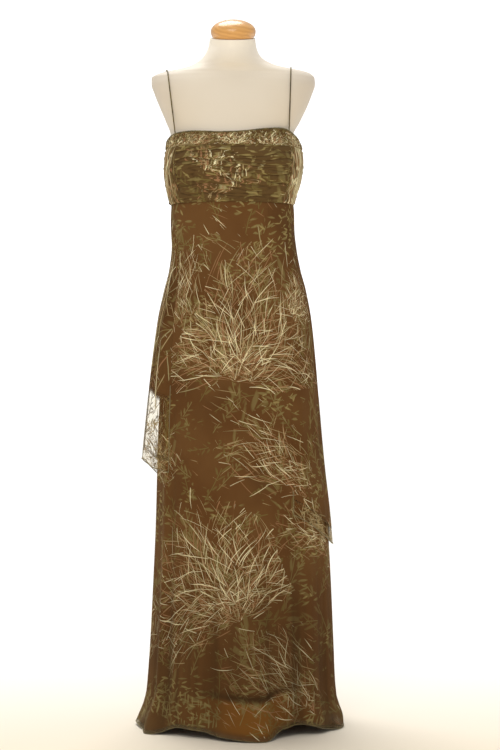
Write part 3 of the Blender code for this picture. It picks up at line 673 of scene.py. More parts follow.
def printed_chiffon(name="printed_chiffon"):
    """The printed chiffon, made once; another name gives a copy of it."""
    made = bpy.data.materials.get("printed_chiffon") or chiffon("printed_chiffon")
    if name == "printed_chiffon":
        return made
    copied = made.copy()
    copied.name = name
    return copied


def finish_piece(piece, *nodes, slot):
    """Lets a piece ride with the part, and stand for the solids it refines."""
    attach(piece, "root")
    if nodes:
        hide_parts(*nodes)
    return piece


# ---------------------------------------------------------------- shader expressions
class Field:
    """A value that varies over a surface: a node's output, whose arithmetic adds Math nodes."""

    def __init__(self, paint, socket):
        self.paint = paint
        self.socket = socket

    def math(self, operation, *others):
        values = dict(enumerate((self, *others)))
        return self.paint.out("ShaderNodeMath", {"operation": operation}, values)

    def __add__(self, other):
        return self.math("ADD", other)

    def __sub__(self, other):
        return self.math("SUBTRACT", other)

    def __rsub__(self, other):
        return (self * -1) + other

    def __mul__(self, other):
        return self.math("MULTIPLY", other)

    def __truediv__(self, other):
        return self.math("DIVIDE", other)

    def __lt__(self, other):
        return self.math("LESS_THAN", other)

    def __gt__(self, other):
        return self.math("GREATER_THAN", other)

    def __abs__(self):
        return self.math("ABSOLUTE")

    __radd__ = __add__
    __rmul__ = __mul__

    def rise(self, low, high):
        """0 below low, 1 above high and smooth between them."""
        sockets = {"Value": self, "From Min": low, "From Max": high}
        smoothly = {"interpolation_type": "SMOOTHSTEP"}
        return self.paint.out("ShaderNodeMapRange", smoothly, sockets, "Result")


class Paint:
    """The node tree of a new material, or of the world given, with one method that adds any
    node."""

    def __init__(self, name, world=None):
        self.owner = world or bpy.data.materials.new(name)
        self.owner.use_nodes = True
        self.tree = self.owner.node_tree
        self.tree.nodes.clear()

    def node(self, kind, settings=None, sockets=None):
        """Adds a node: its settings first, then its sockets' values or links, by name or place."""
        made = self.tree.nodes.new(kind)
        for key, value in (settings or {}).items():
            setattr(made, key, value)
        for key, value in (sockets or {}).items():
            if isinstance(value, Field):
                self.tree.links.new(value.socket, made.inputs[key])
            else:
                made.inputs[key].default_value = value
        return made

    def out(self, kind, settings=None, sockets=None, output=0):
        """Adds a node and returns one of its outputs."""
        return Field(self, self.node(kind, settings, sockets).outputs[output])

    def vector(self, operation, *values, output="Vector"):
        """Arithmetic on vectors."""
        settings = {"operation": operation}
        return self.out("ShaderNodeVectorMath", settings, dict(enumerate(values)), output)

    def scaled(self, vector, factor):
        """A vector times a number."""
        sockets = {"Vector": vector, "Scale": factor}
        return self.out("ShaderNodeVectorMath", {"operation": "SCALE"}, sockets)

    def spun(self, vector, angle):
        """Turned in the plane of the cloth."""
        sockets = {"Vector": vector, "Angle": angle}
        return self.out("ShaderNodeVectorRotate", {"rotation_type": "Z_AXIS"}, sockets)

    def parts(self, vector):
        """The x, y and z of a vector."""
        made = self.node("ShaderNodeSeparateXYZ", None, {"Vector": vector})
        return [Field(self, socket) for socket in made.outputs]

    def join(self, x=0.0, y=0.0, z=0.0):
        """A vector from its x, y and z."""
        return self.out("ShaderNodeCombineXYZ", None, {"X": x, "Y": y, "Z": z})

    def mix(self, factor, first, second):
        """Between two colours."""
        settings = {"data_type": "RGBA", "clamp_factor": True}
        return self.out("ShaderNodeMix", settings, {0: factor, 6: first, 7: second}, 2)

    def mix_vector(self, factor, first, second):
        """Between two vectors."""
        sockets = {0: factor, 4: first, 5: second}
        return self.out("ShaderNodeMix", {"data_type": "VECTOR"}, sockets, 1)

    def mix_value(self, factor, first, second):
        """Between two numbers."""
        sockets = {0: factor, 2: first, 3: second}
        return self.out("ShaderNodeMix", {"data_type": "FLOAT"}, sockets, 0)

    def dice(self, vector):
        """Three random values that are the same wherever vector is."""
        made = self.node("ShaderNodeTexWhiteNoise", {"noise_dimensions": "3D"}, {"Vector": vector})
        return self.parts(Field(self, made.outputs["Color"]))

    def noise(self, vector, scale, detail):
        """Smooth noise from 0 to 1."""
        sockets = {"Vector": vector, "Scale": scale, "Detail": detail}
        return self.out("ShaderNodeTexNoise", None, sockets, "Fac")

    def bump(self, height, distance, strength):
        """The normal of a surface raised by distance times height."""
        sockets = {"Height": height, "Distance": distance, "Strength": strength}
        return self.out("ShaderNodeBump", None, sockets)

    def cloth_map(self):
        """Distances across and up the cloth, in metres."""
        return self.out("ShaderNodeUVMap", {"uv_map": "cloth"})

    def place(self):
        """The point's own place, in metres."""
        return self.out("ShaderNodeTexCoord", None, None, "Object")

    def mark(self, name):
        """A value that the piece's points hold, or 0 where they hold none."""
        return self.out("ShaderNodeAttribute", {"attribute_name": name}, None, "Fac")

    def finish(self, shader, kind="ShaderNodeOutputMaterial"):
        """Links a shader to the tree's output and returns what the tree belongs to."""
        end = self.node(kind)
        self.tree.links.new(shader.outputs[0], end.inputs["Surface"])
        return self.owner

    def surface(self, sockets):
        """Ends the tree in a Principled shader and returns the material."""
        return self.finish(self.node("ShaderNodeBsdfPrincipled", None, sockets))

    def sheer_surface(self, sockets, clear, tint):
        """Ends the tree in a Principled shader that gives way to a tinted clear one as clear
        goes from 0 to 1, and returns the material."""
        shader = self.out("ShaderNodeBsdfPrincipled", None, sockets)
        through = self.out("ShaderNodeBsdfTransparent", None, {"Color": tint})
        return self.finish(self.node("ShaderNodeMixShader", None, {0: clear, 1: shader, 2: through}))


def colour(name):
    """A colour that the user sets, with full alpha."""
    return (*getattr(bpy.context.scene.gown_colours, name), 1.0)


# ---------------------------------------------------------------- printed chiffon
def nearest_clump(paint, cloth):
    """Place in the clump whose middle is nearest, with its foot at 0, its lean upright and its
    reach 1, then the clump's number with its share of strokes as the fraction, half its spread
    and half the width of its strokes."""
    place = away = facts = None
    for i, clump in enumerate(CLUMPS):
        lean = np.radians(clump.lean)
        turn = np.array([[np.cos(lean), -np.sin(lean)], [np.sin(lean), np.cos(lean)]])
        shift = -turn @ (clump.across, clump.up) / clump.reach
        mapping = {
            "Vector": cloth,
            "Location": (*shift, 0),
            "Rotation": (0, 0, lean),
            "Scale": (1 / clump.reach, 1 / clump.reach, 0),
        }
        its_place = paint.out("ShaderNodeMapping", {"vector_type": "POINT"}, mapping)
        distance = paint.vector("DISTANCE", its_place, (0.0, 0.5, 0.0), output="Value")
        its_facts = (i + 0.98 * clump.share, np.radians(clump.spread), clump.stroke / clump.reach)
        if place is None:
            place, away = its_place, distance
            facts = paint.vector("ADD", its_facts, (0.0, 0.0, 0.0))
            continue
        nearer = distance < away
        place = paint.mix_vector(nearer, place, its_place)
        facts = paint.mix_vector(nearer, facts, its_facts)
        away = away.math("MINIMUM", distance)
    return place, *paint.parts(facts)


def grass(paint, cloth, base):
    """Fine strokes that fan out from the foot of each clump and droop at its sides, as the
    height is measured with a share of the square of the distance aside added. Each set of blades
    is cut into cells by angle and by distance, and a cell holds one tapered stroke, slightly
    curved by a share of the square of the distance along it."""
    place, number, spread, width = nearest_clump(paint, cloth)
    x, y, _ = paint.parts(place)
    y = y + x * x * 0.45
    polar = []
    for aside, up in FEET:
        angle = (x - aside).math("ARCTAN2", y - up)
        reach = paint.vector("LENGTH", paint.join(x - aside, y - up), output="Value")
        polar.append((angle, reach))
    kept = number.math("FRACT")
    covered = number * 0.0
    for i, blades in enumerate(BLADES):
        angle, reach = polar[i % len(FEET)]
        wide = 2 * np.pi / blades.count
        turns = angle / wide + 0.37 * i
        cell = turns.math("FLOOR")
        phase, ragged, chance = paint.dice(paint.join(cell, number, float(i)))
        along = reach * blades.parts + phase
        part = along.math("FLOOR")
        aside, slant, thick = paint.dice(paint.join(cell + 57.0, part, number * 16.0 + float(i)))
        along = along - part - 0.5
        lean = (turns - cell - 0.85 + aside * 0.7) * wide
        bend = along * along * (thick - 0.5) * (0.6 / blades.parts)
        away = abs(lean * reach - along * (slant - 0.5) * (2 * blades.slant / blades.parts) - bend)
        half = (1 - along * along * 4.4) * (thick * 0.9 + 0.5) * width * blades.width
        body = 1 - (away / half.math("MAXIMUM", 0.00005)).rise(0.5, 1.5)
        inside = abs((cell + (0.5 - 0.37 * i)) * wide) < (phase * 0.5 + 0.72) * spread
        inside = inside * (reach < ragged * 0.42 + 0.60) * (chance < kept)
        stroke = body * inside * 0.95
        base = paint.mix(stroke, base, colour(blades.colour))
        covered = covered.math("MAXIMUM", stroke)
    return base, covered


def tilted_cells(paint, cloth, row):
    """Place in a cell of a row's own tilted grid, from 0 to 1, and three random values of the
    cell."""
    turned = paint.spun(cloth, -np.radians(row.tilt))
    cells = paint.vector("DIVIDE", turned, (row.wide, row.tall, 1.0))
    cell = paint.vector("FLOOR", cells)
    values = paint.dice(paint.vector("ADD", cell, (row.seed, 0.0, 0.5)))
    return paint.vector("SUBTRACT", cells, cell), values


def from_middle(paint, place, middle, row):
    """Place in metres from a point of the cell, along the sides of the grid."""
    away = paint.vector("SUBTRACT", place, middle)
    return paint.vector("MULTIPLY", away, (row.wide, row.tall, 0.0))


def strewn_strokes(paint, cloth, strewn, patches):
    """Share of a strewn stroke at each point: the cell's own stroke, moved and swung by chance,
    whose half width falls off with the square of the distance along it."""
    place, (first, second, third) = tilted_cells(paint, cloth, strewn)
    middle = paint.join(first * 0.16 + 0.42, second * 0.4 + 0.3)
    swing = np.radians(strewn.swing)
    local = from_middle(paint, place, middle, strewn)
    local = paint.spun(local, third * (2 * swing) - swing)
    along, aside, _ = paint.parts(local)
    share = along / strewn.reach
    half = (1 - share * share) * (second * 0.7 + 0.6) * strewn.width
    edge = 0.0003 + 0.0004 * strewn.kind
    there = (first < strewn.share) * patches.rise(strewn.patch, strewn.patch + 0.03)
    return (half - abs(aside)).rise(-edge, edge) * (half > 0.0) * there


def twig_leaves(paint, cloth, twig):
    """Share of a twig at each point. A cell holds one twig, turned and bent by chance. Leaves
    leave the stem on both sides by turns: the distance along the stem, measured along a leaf's
    own angle, tells which leaf a point is on, and a leaf's half width is a sine of its length."""
    place, (first, second, third) = tilted_cells(paint, cloth, twig)
    local = from_middle(paint, place, (0.5, 0.5, 0.0), twig)
    local = paint.spun(local, first * 2.6 - 1.3)
    x, along, _ = paint.parts(local)
    aside = x + along * along * (second * 6.0 - 3.0)
    away = abs(aside)
    sine, cosine = np.sin(np.radians(twig.angle)), np.cos(np.radians(twig.angle))
    side = aside > 0.0
    foot = along - away * (cosine / sine) + away * away * (0.35 / twig.leaf)
    step = foot / twig.pitch + side * 0.5
    leaf = step.math("FLOOR")
    longer, wider, lean = paint.dice(paint.join(leaf, side + twig.seed, third * 90.0))
    taper = 1.05 - abs(foot) * (0.5 / twig.reach)
    share = (away / ((longer * 0.6 + 0.4) * taper * (twig.leaf * sine))).math("MINIMUM", 1.0)
    half = (share * np.pi).math("SINE") * ((wider * 0.7 + 0.5) * twig.width)
    across = abs(step - leaf - 0.5 + (lean - 0.5) * share * 0.5) * (twig.pitch * sine)
    blade = (half - across).rise(-0.12 * twig.width, 0.50 * twig.width)
    blade = blade * (1 - abs(foot).rise(twig.reach * 0.9, twig.reach)) * (longer > 0.16)
    blade = blade * (lean * 0.4 + 0.6) * (1 - share * 0.3)
    stem = (1 - away.rise(0.0005, 0.0014)) * (1 - abs(along).rise(twig.reach, twig.reach * 1.1))
    return blade.math("MAXIMUM", stem) * (third < twig.share)


def chiffon(name):
    """Printed chiffon: a mottled brown ground, olive twigs and flecks, and pale grass over them.
    It reads these values of a piece's points: gathered, on the bodice and its band; glow, where
    the satin under it shows, with a painted highlight; edge, where a single layer hangs free;
    crease, painted shade in the depth of folds and towards the hem; and sheer, where light comes
    through and the print is painted paler as if lit through. Random dark patches of the ground
    are painted shade too."""
    paint = Paint(name)
    cloth = paint.cloth_map()
    mottle = paint.noise(cloth, 6.0, 3.0)
    patches = paint.noise(cloth, 7.5, 1.0)
    edge = paint.mark("edge")
    ground = paint.mix(mottle.rise(0.35, 0.65), colour("ground_dark"), colour("ground"))
    # Painted shade: random patches of the ground, darkened below as shade of the layers beneath.
    shade_patches = paint.noise(cloth, 5.0, 2.0).rise(0.48, 0.70)
    gathered = paint.mark("gathered")
    ground = paint.mix(gathered, ground, colour("gathered"))
    ground = paint.mix(shade_patches * 0.30, ground, colour("fold"))
    # Satin showing through, lightened as a painted highlight where the bulges face up to the light.
    ground = paint.mix(paint.mark("glow"), ground, colour("satin_glow"))
    ground = paint.mix(edge * 0.85, ground, colour("hem_edge"))
    sockets = {"Vector": cloth, "Scale": 20.0, "Detail": 2.0}
    wander = paint.out("ShaderNodeTexNoise", None, sockets, "Color")
    wander = paint.vector("SUBTRACT", wander, (0.5, 0.5, 0.5))
    wavy = paint.vector("ADD", cloth, paint.scaled(wander, 0.006))
    printed = ground
    covered = edge * 0.0
    for twig in TWIGS:
        share = twig_leaves(paint, wavy, twig)
        patchy = share * (mottle.rise(0.2, 0.65) * 0.35 + 0.65)
        printed = paint.mix(patchy, printed, colour(twig.colour))
        covered = covered.math("MAXIMUM", share)
    straight = paint.vector("ADD", cloth, paint.scaled(wander, 0.004))
    _, up, _ = paint.parts(cloth)
    leafy = patches + gathered * 0.19 + (up.rise(0.01, 0.05) - up.rise(0.10, 0.15)) * 0.11
    leafy = leafy + up.rise(1.00, 1.10) * 0.12
    hem = patches + (up.rise(0.01, 0.03) - up.rise(0.07, 0.12)) * 0.30 - 0.15 - gathered
    fields = (1 - patches - gathered, leafy, hem)
    for strewn in STREWN:
        share = strewn_strokes(paint, straight, strewn, fields[strewn.kind])
        printed = paint.mix(share * 0.85, printed, colour(strewn.colour))
        covered = covered.math("MAXIMUM", share)
    printed, strokes = grass(paint, straight, printed)
    covered = covered.math("MAXIMUM", strokes)
    # Painted shade: the print is darkened in folds, above the bulges and towards the hem.
    printed = paint.mix(paint.mark("crease") * 0.75, printed, colour("fold"))
    # Painted light: the print is paled towards straw where the cloth is sheer, as if lit through.
    printed = paint.mix(paint.mark("sheer").rise(0.4, 1.2) * 0.9, printed, colour("straw"))
    u, v, _ = paint.parts(cloth)
    thread = 2 * np.pi / THREAD_PITCH
    weave = (u * thread).math("SINE") * (v * thread).math("SINE")
    crepe = paint.noise(cloth, 420.0, 2.0)
    sockets = {
        "Base Color": printed,
        "Roughness": mottle * 0.12 + 0.80,
        "Normal": paint.bump(weave * 0.5 + crepe, 0.0004, 0.35),
        "Sheen Weight": 0.03,
        "Sheen Roughness": 0.35,
        "Sheen Tint": (0.95, 0.80, 0.45, 1.0),
        "Specular IOR Level": 0.06,
    }
    clear = (paint.mark("sheer") * (1 - covered * 0.9) + edge * 0.45).math("MINIMUM", 0.985)
    return paint.sheer_surface(sockets, clear, colour("light_through"))


def satin(name):
    """Lining satin: an even colour with slight upright slubs."""
    paint = Paint(name)
    cloth = paint.cloth_map()
    stretched = paint.vector("MULTIPLY", cloth, (60.0, 3.0, 1.0))
    slub = paint.noise(stretched, 8.0, 2.0)
    base = paint.mix(slub.rise(0.3, 0.7), colour("satin"), colour("satin_light"))
    sockets = {
        "Base Color": base,
        "Roughness": slub * 0.15 + 0.30,
        "Normal": paint.bump(slub, 0.0003, 0.3),
        "Sheen Weight": 0.2,
        "Specular IOR Level": 0.5,
    }
    return paint.surface(sockets)


def cord_cloth(name, key):
    """Rolled or bound chiffon and thread: dark cloth with a fine grain."""
    paint = Paint(name)
    place = paint.place()
    grain = paint.noise(place, 900.0, 2.0)
    shade = paint.noise(place, 60.0, 2.0)
    base = paint.mix(shade.rise(0.3, 0.7), colour(key), colour("moss"))
    base = paint.mix(grain.rise(0.45, 0.8) * 0.4, base, colour("olive"))
    sockets = {
        "Base Color": base,
        "Roughness": grain * 0.2 + 0.6,
        "Normal": paint.bump(grain, 0.0004, 0.5),
        "Sheen Weight": 0.25,
        "Sheen Tint": (0.9, 0.85, 0.6, 1.0),
    }
    return paint.surface(sockets)


def form_skin(name):
    """Smooth cream jersey of the dress form: faint ribs of the knit and a little shade. The neck is
    painted paler as a highlight and the shoulders' tips darker as painted shade.
    """
    paint = Paint(name)
    place = paint.place()
    x, y, z = paint.parts(place)
    shade = paint.noise(place, 5.0, 3.0)
    base = paint.mix(shade.rise(0.3, 0.75), colour("form_shade"), colour("form"))
    # Painted highlight: paler towards the neck, where the light from above falls.
    base = paint.mix(z.rise(1.495, 1.560), base, colour("form_neck_highlight"))
    # Painted shade: darker towards the shoulders' tips, which less light reaches.
    base = paint.mix(abs(x).rise(0.09, 0.19) * 0.65, base, colour("form_sides_shade"))
    loops = (x * 5200.0).math("SINE") * (z * 3900.0).math("SINE") + (y * 5200.0).math("SINE") * 0.5
    fine = paint.noise(place, 700.0, 2.0)
    sockets = {
        "Base Color": base,
        "Roughness": fine * 0.1 + 0.52,
        "Normal": paint.bump(loops * 0.3 + fine, 0.0003, 0.25),
        "Sheen Weight": 0.15,
        "Specular IOR Level": 0.35,
    }
    return paint.surface(sockets)


def turned_wood(name):
    """Varnished wood: growth rings round a tilted axis, fine pores along them, and a clear coat."""
    paint = Paint(name)
    place = paint.place()
    mapped = paint.out(
        "ShaderNodeMapping",
        {"vector_type": "POINT"},
        {"Vector": place, "Location": (0.02, 0.06, -1.62), "Rotation": (1.2, 0.25, 0.1)},
    )
    warp = paint.noise(mapped, 9.0, 3.0)
    x, y, z = paint.parts(mapped)
    radius = paint.vector("LENGTH", paint.join(x, y * 0.8), output="Value")
    rings = ((radius + warp * 0.03) * 900.0).math("SINE") * 0.5 + 0.5
    pores = paint.noise(paint.vector("MULTIPLY", mapped, (900.0, 900.0, 60.0)), 1.0, 2.0)
    base = paint.mix(rings * 0.40, colour("wood"), colour("wood_dark"))
    base = paint.mix(pores.rise(0.55, 0.8) * 0.5, base, colour("wood_dark"))
    sockets = {
        "Base Color": base,
        "Roughness": pores * 0.15 + 0.30,
        "Normal": paint.bump(pores, 0.0002, 0.2),
        "Coat Weight": 0.5,
        "Coat Roughness": 0.16,
    }
    return paint.surface(sockets)


def painted_metal(name):
    """Satin paint over steel, with a slight orange peel and dusty patches of colour."""
    paint = Paint(name)
    place = paint.place()
    peel = paint.noise(place, 350.0, 2.0)
    dust = paint.noise(place, 12.0, 3.0)
    base = paint.mix(dust.rise(0.4, 0.8), colour("metal"), colour("metal_dust"))
    sockets = {
        "Base Color": base,
        "Roughness": dust * 0.2 + 0.3,
        "Metallic": 0.1,
        "Normal": paint.bump(peel, 0.0002, 0.15),
    }
    return paint.surface(sockets)


# ---------------------------------------------------------------- the skirt
def skirt_levels(rows):
    """Heights of the skirt's rows, closer together towards the hem."""
    share = np.linspace(0, 1, rows)
    return WAIST * (1 - share) ** 1.35


def skirt_points(turns, levels, surface, lift=0.0):
    """Rows at the levels, which follow the hem's waves as they near it."""
    levels = np.array(levels)[:, None]
    heights = levels + (hem_height(turns) + lift) * ease((HEM_WAVES_FROM - levels) / HEM_WAVES_FROM)
    heights[0] -= SEAM_GAP
    return surface(np.broadcast_to(turns, heights.shape), heights)


def panel_turns(first, last, count):
    """Angles across a panel, a seam's gap short of each end."""
    inset = SEAM_GAP / 0.15
    return np.linspace(first + inset, last - inset, count)


def chiffon_skirt(turn, height):
    """The gown's surface moved out by its creases and, by the height above the hem, by the
    bulges over the floor."""
    depth = bpy.context.scene.gown_sizes.crease_depth
    creases = soft_creases(turn, height) + hem_lobes(turn, height - hem_height(turn))
    return gown_surface(turn, height, depth * creases)


def skirt_marks(turns, points):
    """Values of the skirt's points: glow, a bell across each bulge below its top, for the satin
    showing through with a painted highlight; edge, a narrow band along the hem, wider where the hem
    flares; and crease, painted shade in the hollows of the folds, over each bulge and in upright
    bands that grow towards the hem."""
    height = points[..., 2]
    above_hem = height - hem_height(turns)
    # glow: the satin showing through, with a painted highlight where each bulge faces up.
    glow = 0.0
    for lobe in HEM_LOBES:
        across = bell(off_angle(turns, lobe.angle), 0, lobe.width * 0.9) ** 0.6
        glow = glow + lobe.glow * across * ease((lobe.top - above_hem) / 0.010)
    glow = np.clip(glow, 0, 1)
    flare = sum(bell(off_angle(turns, angle), 0, FLARE_WIDTH) for angle in FLARES)
    band = (1 - ease((above_hem - 0.004) / 0.006)) * (1 - 0.8 * glow)
    # Painted shade: darker in the hollows of the folds and in upright bands towards the hem.
    trough_shade = np.clip(-skirt_folds(turns, height) / 0.010, 0, 1) * 0.7
    shade_streaks = drift(np.degrees(turns) / 4, height * 1.6, 8, 90).clip(0)
    low = (0.36 + 0.5 * shade_streaks) * ease((0.50 - height) / 0.35) * (1 - glow)
    return {
        "glow": glow * ease((above_hem - 0.006) / 0.012),
        "edge": band + 0.45 * flare * (1 - ease((above_hem - 0.012) / 0.040)),
        "crease": trough_shade + lobe_shade(turns, above_hem) + low,
    }


def build_skirt():
    """Front and back panels with a rolled edge along each hem."""
    roll = cord_cloth("rolled_hem", "edge_roll")
    for half, first, last in HALVES:
        name = f"skirt_{half}"
        turns = panel_turns(first, last, 170)
        points = skirt_points(turns, skirt_levels(185), chiffon_skirt)
        across = centred_arcs(points, turns, (first + last) / 2) + PRINT_AT[name]
        marks = skirt_marks(turns, points)
        piece = cloth_piece(name, points, across, points[..., 2], printed_chiffon(), marks)
        finish_piece(piece, name, slot="chiffon")
        hem = tube_piece(name + "_hem_roll", points[-1], HEM_ROLL, (0, 0, 1), roll, 8)
        finish_piece(hem, slot="chiffon")


def build_lining():
    """Two satin panels inside the skirt, which part from it towards the hem."""

    def surface(turn, height):
        """The gown's surface without its folds, moved inwards by more towards the hem."""
        inset = LINING_BEHIND + LINING_INSET * ease((LINING_PARTS - height) / LINING_PARTS)
        return gown_surface(turn, height, -inset, folded=False)

    finish = satin("lining_satin")
    for half, first, last in HALVES:
        name = f"lining_{half}"
        turns = panel_turns(first, last, 72)
        points = skirt_points(turns, skirt_levels(80), surface, LINING_HEM)
        piece = cloth_piece(name, points, arc_lengths(points), points[..., 2], finish)
        finish_piece(piece, name, slot="satin")


def overskirt_pleats(turn, height):
    """Fine upright pleats near the two front edges and looser ones between, always outwards."""
    degrees = np.degrees(turn)
    fine = drift(degrees / 3.0, height * 2.2, 31, 120) * 0.5 + 0.5
    loose = drift(degrees / 8.0, height * 1.3, 32, 45) * 0.5 + 0.5
    left_edge = bell(off_angle(turn, -66), 0, 22)
    return 0.0030 * fine * left_edge + 0.0012 * fine + 0.0022 * loose * ease((WAIST - height) / 0.25)


def overskirt_marks(turn, down, from_left):
    """Values of the overskirt's points: sheer, which is most on its free part at the left and at
    its right corner; and edge, on the free part's outline and on a band above its corner."""
    hanging = ease((0.34 - from_left) / 0.06) * ease((down - FREE_FROM) / 0.04)
    outline = 2.6 + 3.8 * ease((0.975 - down) / 0.02)
    free = hanging * ease((abs(off_angle(turn, FREE_OUTLINE)) - outline) / 3.4)
    free = free * (1 - 0.9 * bell(down, FREE_BAND, 0.011))
    clear = 1.15 + 2.0 * ease((down - 0.955) / 0.02)
    corner = ease((from_left - 0.74) / 0.08) * ease((down - 0.945) / 0.02)
    loose = ease(down / 0.3) * ease((0.86 - from_left) / 0.25) * ease(from_left / 0.10)
    sheer = 0.06 + 0.22 * loose + free * clear + 1.3 * corner
    return {"edge": 0.75 * (hanging - free), "sheer": np.clip(sheer, 0, 3)}


def build_overskirt():
    """One wide sheer panel hung from the waist seam, open in front. It stands away from the
    skirt towards its hem, in the flutes of its table, and its edges are rolled."""
    share = np.linspace(0, 1, 230)
    heights = np.array(column(OVERSKIRT_EDGES, "height"))

    def turns_at(height):
        """Degrees across the panel at a height: even steps between its two front edges."""
        left = smooth(height, heights, column(OVERSKIRT_EDGES, "left"))
        right = smooth(height, heights, column(OVERSKIRT_EDGES, "right"))
        return left + (right - left) * share

    angles = column(OVERSKIRT_HEM, "angle")
    hem = smooth(turns_at(0.5), angles, column(OVERSKIRT_HEM, "height"))
    stand = smooth(turns_at(0.5), angles, column(OVERSKIRT_HEM, "stand_off"))
    down = np.linspace(0, 1, 150)[:, None]
    top = WAIST - LAP - SEAM_GAP
    height = top + (hem - top) * down
    turn = -np.radians(turns_at(height))
    inside = ease(share / 0.04) * ease((1 - share) / 0.04)
    rise = 0.7 + 0.3 * ease(down / 0.03)
    out = OVERSKIRT_STAND * rise + (stand - OVERSKIRT_STAND).clip(0) * down**OVERSKIRT_FALL
    out = out + overskirt_pleats(turn, height) * ease(down / 0.05)
    out = out * inside + SEAM_GAP * (1 - inside)
    depth = bpy.context.scene.gown_sizes.crease_depth
    points = gown_surface(turn, height, out + depth * soft_creases(turn, height))[:, ::-1]
    from_left = share[::-1]
    turn, down_to = turn[:, ::-1] % (2 * np.pi), (down * np.ones_like(share))[:, ::-1]
    start = gown_surface(turn[:, :1] * np.linspace(0, 1, 60), points[:, :1, 2])
    start, arcs = arc_lengths(start)[:, -1:], arc_lengths(points)
    across = start + (OVERSKIRT_PRINT_END - start) * arcs / arcs[:, -1:]
    marks = overskirt_marks(turn, down_to, from_left)
    finish = printed_chiffon("printed_sheer_chiffon")
    piece = cloth_piece("overskirt", points, across, points[..., 2], finish, marks)
    finish_piece(piece, "overskirt", slot="sheer_chiffon")
    edge = np.vstack([points[-12:-1, 0], points[-1], points[-2:-50:-1, -1]])
    roll = cord_cloth("overskirt_roll", "hem_edge")
    slanting = (0.3, 0.5, 0.8)
    rolled = tube_piece("overskirt_rolled_edge", edge, OVERSKIRT_ROLL, slanting, roll, 8)
    finish_piece(rolled, slot="sheer_chiffon")


# ---------------------------------------------------------------- the bodice
def centre_seam_turn():
    """The angle at which the bodice's outside is CENTRE_SEAM from the middle."""
    turns = np.linspace(0, SIDE, 400)
    return float(np.interp(CENTRE_SEAM, gown_surface(turns, BUST_HEIGHT)[:, 0], turns))


def level_gathers(x, height, seed):
    """Gathered cloth, from 0 in its valleys to 1 on its crests. Folds run level and wander: the
    size of a stretched noise is sharp where it passes 0 and round between, and two widths of it
    are added."""
    wander = 0.006 * drift(x * 9, height * 22, seed)
    height = height + wander + 0.0015 * drift(x * 40, height * 90, seed + 1)
    wide = np.abs(drift(x * 13, height * 78, seed + 2))
    fine = np.abs(drift(x * 30, height * 170, seed + 3))
    return np.clip(0.95 * wide**0.75 + 0.38 * fine**0.75, 0, 1.2)


def panel_points(turns, top, bottom, rows, surface):
    """Even rows from the height top down to bottom, which may go with the turn."""
    share = np.linspace(0, 1, rows)[:, None]
    high, low = np.broadcast_arrays(top(turns), bottom(turns))
    heights = high + (low - high) * share
    return surface(np.broadcast_to(turns, heights.shape), heights)


def level(height):
    """An edge at one height all round."""
    return lambda turn: np.full_like(turn, height)


def build_bodice():
    """A ruched front between two seams, two side panels and a ruched back."""
    seam = centre_seam_turn()
    depth = bpy.context.scene.gown_sizes.ruche_depth
    top, bottom = level(BODICE_TOP - SEAM_GAP), level(WAIST - LAP)
    finish = printed_chiffon()

    def puckered(turn):
        """The front's lower edge, which wanders by a smooth noise of the turn."""
        return WAIST - LAP - 0.0011 * (1 + drift(np.degrees(turn) / 3.5, turn * 0 + 0.5, 44, 103))

    def edges(height):
        """How much folds stand out: all over the panel, less at its seams."""
        share = (height - WAIST) / (BODICE_TOP - WAIST)
        return ease(share * 22 + 0.3) * ease((1 - share) * 22)

    def ruched(seed):
        """Level gathers over the sine of the turn, with a seed of their own."""
        def folds(turn, height):
            return level_gathers(np.sin(turn) * 0.15, height, seed)

        return folds

    def pleated(turn, height):
        """Slight upright pleats: a smooth noise of the turn that changes slowly with height."""
        return 0.30 + 0.22 * drift(np.degrees(turn) / 1.9, height * 9, 51, 192)

    panels = (
        ("bodice_front", -seam, seam, 240, 125, ruched(41), 0.6, 0.8, (0.31, 0.172)),
        ("bodice_side_left", -SIDE, -seam, 60, 70, pleated, 2.4, 0.5, (0.10, 0.145)),
        ("bodice_side_right", seam, SIDE, 60, 70, pleated, 2.4, 0.5, (0.10, 0.145)),
        ("bodice_back", SIDE, 3 * SIDE, 240, 90, ruched(61), 0.6, 0.8, (0.46, 0.168)),
    )
    for name, first, last, columns, rows, folds, gather_across, gather_up, flat in panels:

        def surface(turn, height):
            """The gown's surface moved out by the panel's own layers and by its folds."""
            out = RUCHE_PROUD * ease((height - WAIST + LAP) / 0.006)
            out = out + depth * folds(turn, height) * edges(height)
            points = gown_surface(turn, np.maximum(height, WAIST), out)
            points[..., 2] = height
            return points

        turns = panel_turns(first, last, columns)
        foot = puckered if name == "bodice_front" else bottom
        points = panel_points(turns, top, foot, rows, surface)
        depths = folds(np.broadcast_to(turns, points.shape[:2]), points[..., 2])
        across = centred_arcs(points, turns, (first + last) / 2) * gather_across + PRINT_AT[name]
        up = (points[..., 2] - WAIST) * gather_up + depths * 0.010
        # Painted shade: the crease mark darkens the print in the valleys of the gathers.
        marks = {
            "crease": ease((0.42 - depths) / 0.42) * edges(points[..., 2]),
            "gathered": np.ones(points.shape[:2]),
        }
        piece = cloth_piece(name, points, across, up, finish, marks)
        finish_piece(piece, name, slot="chiffon")


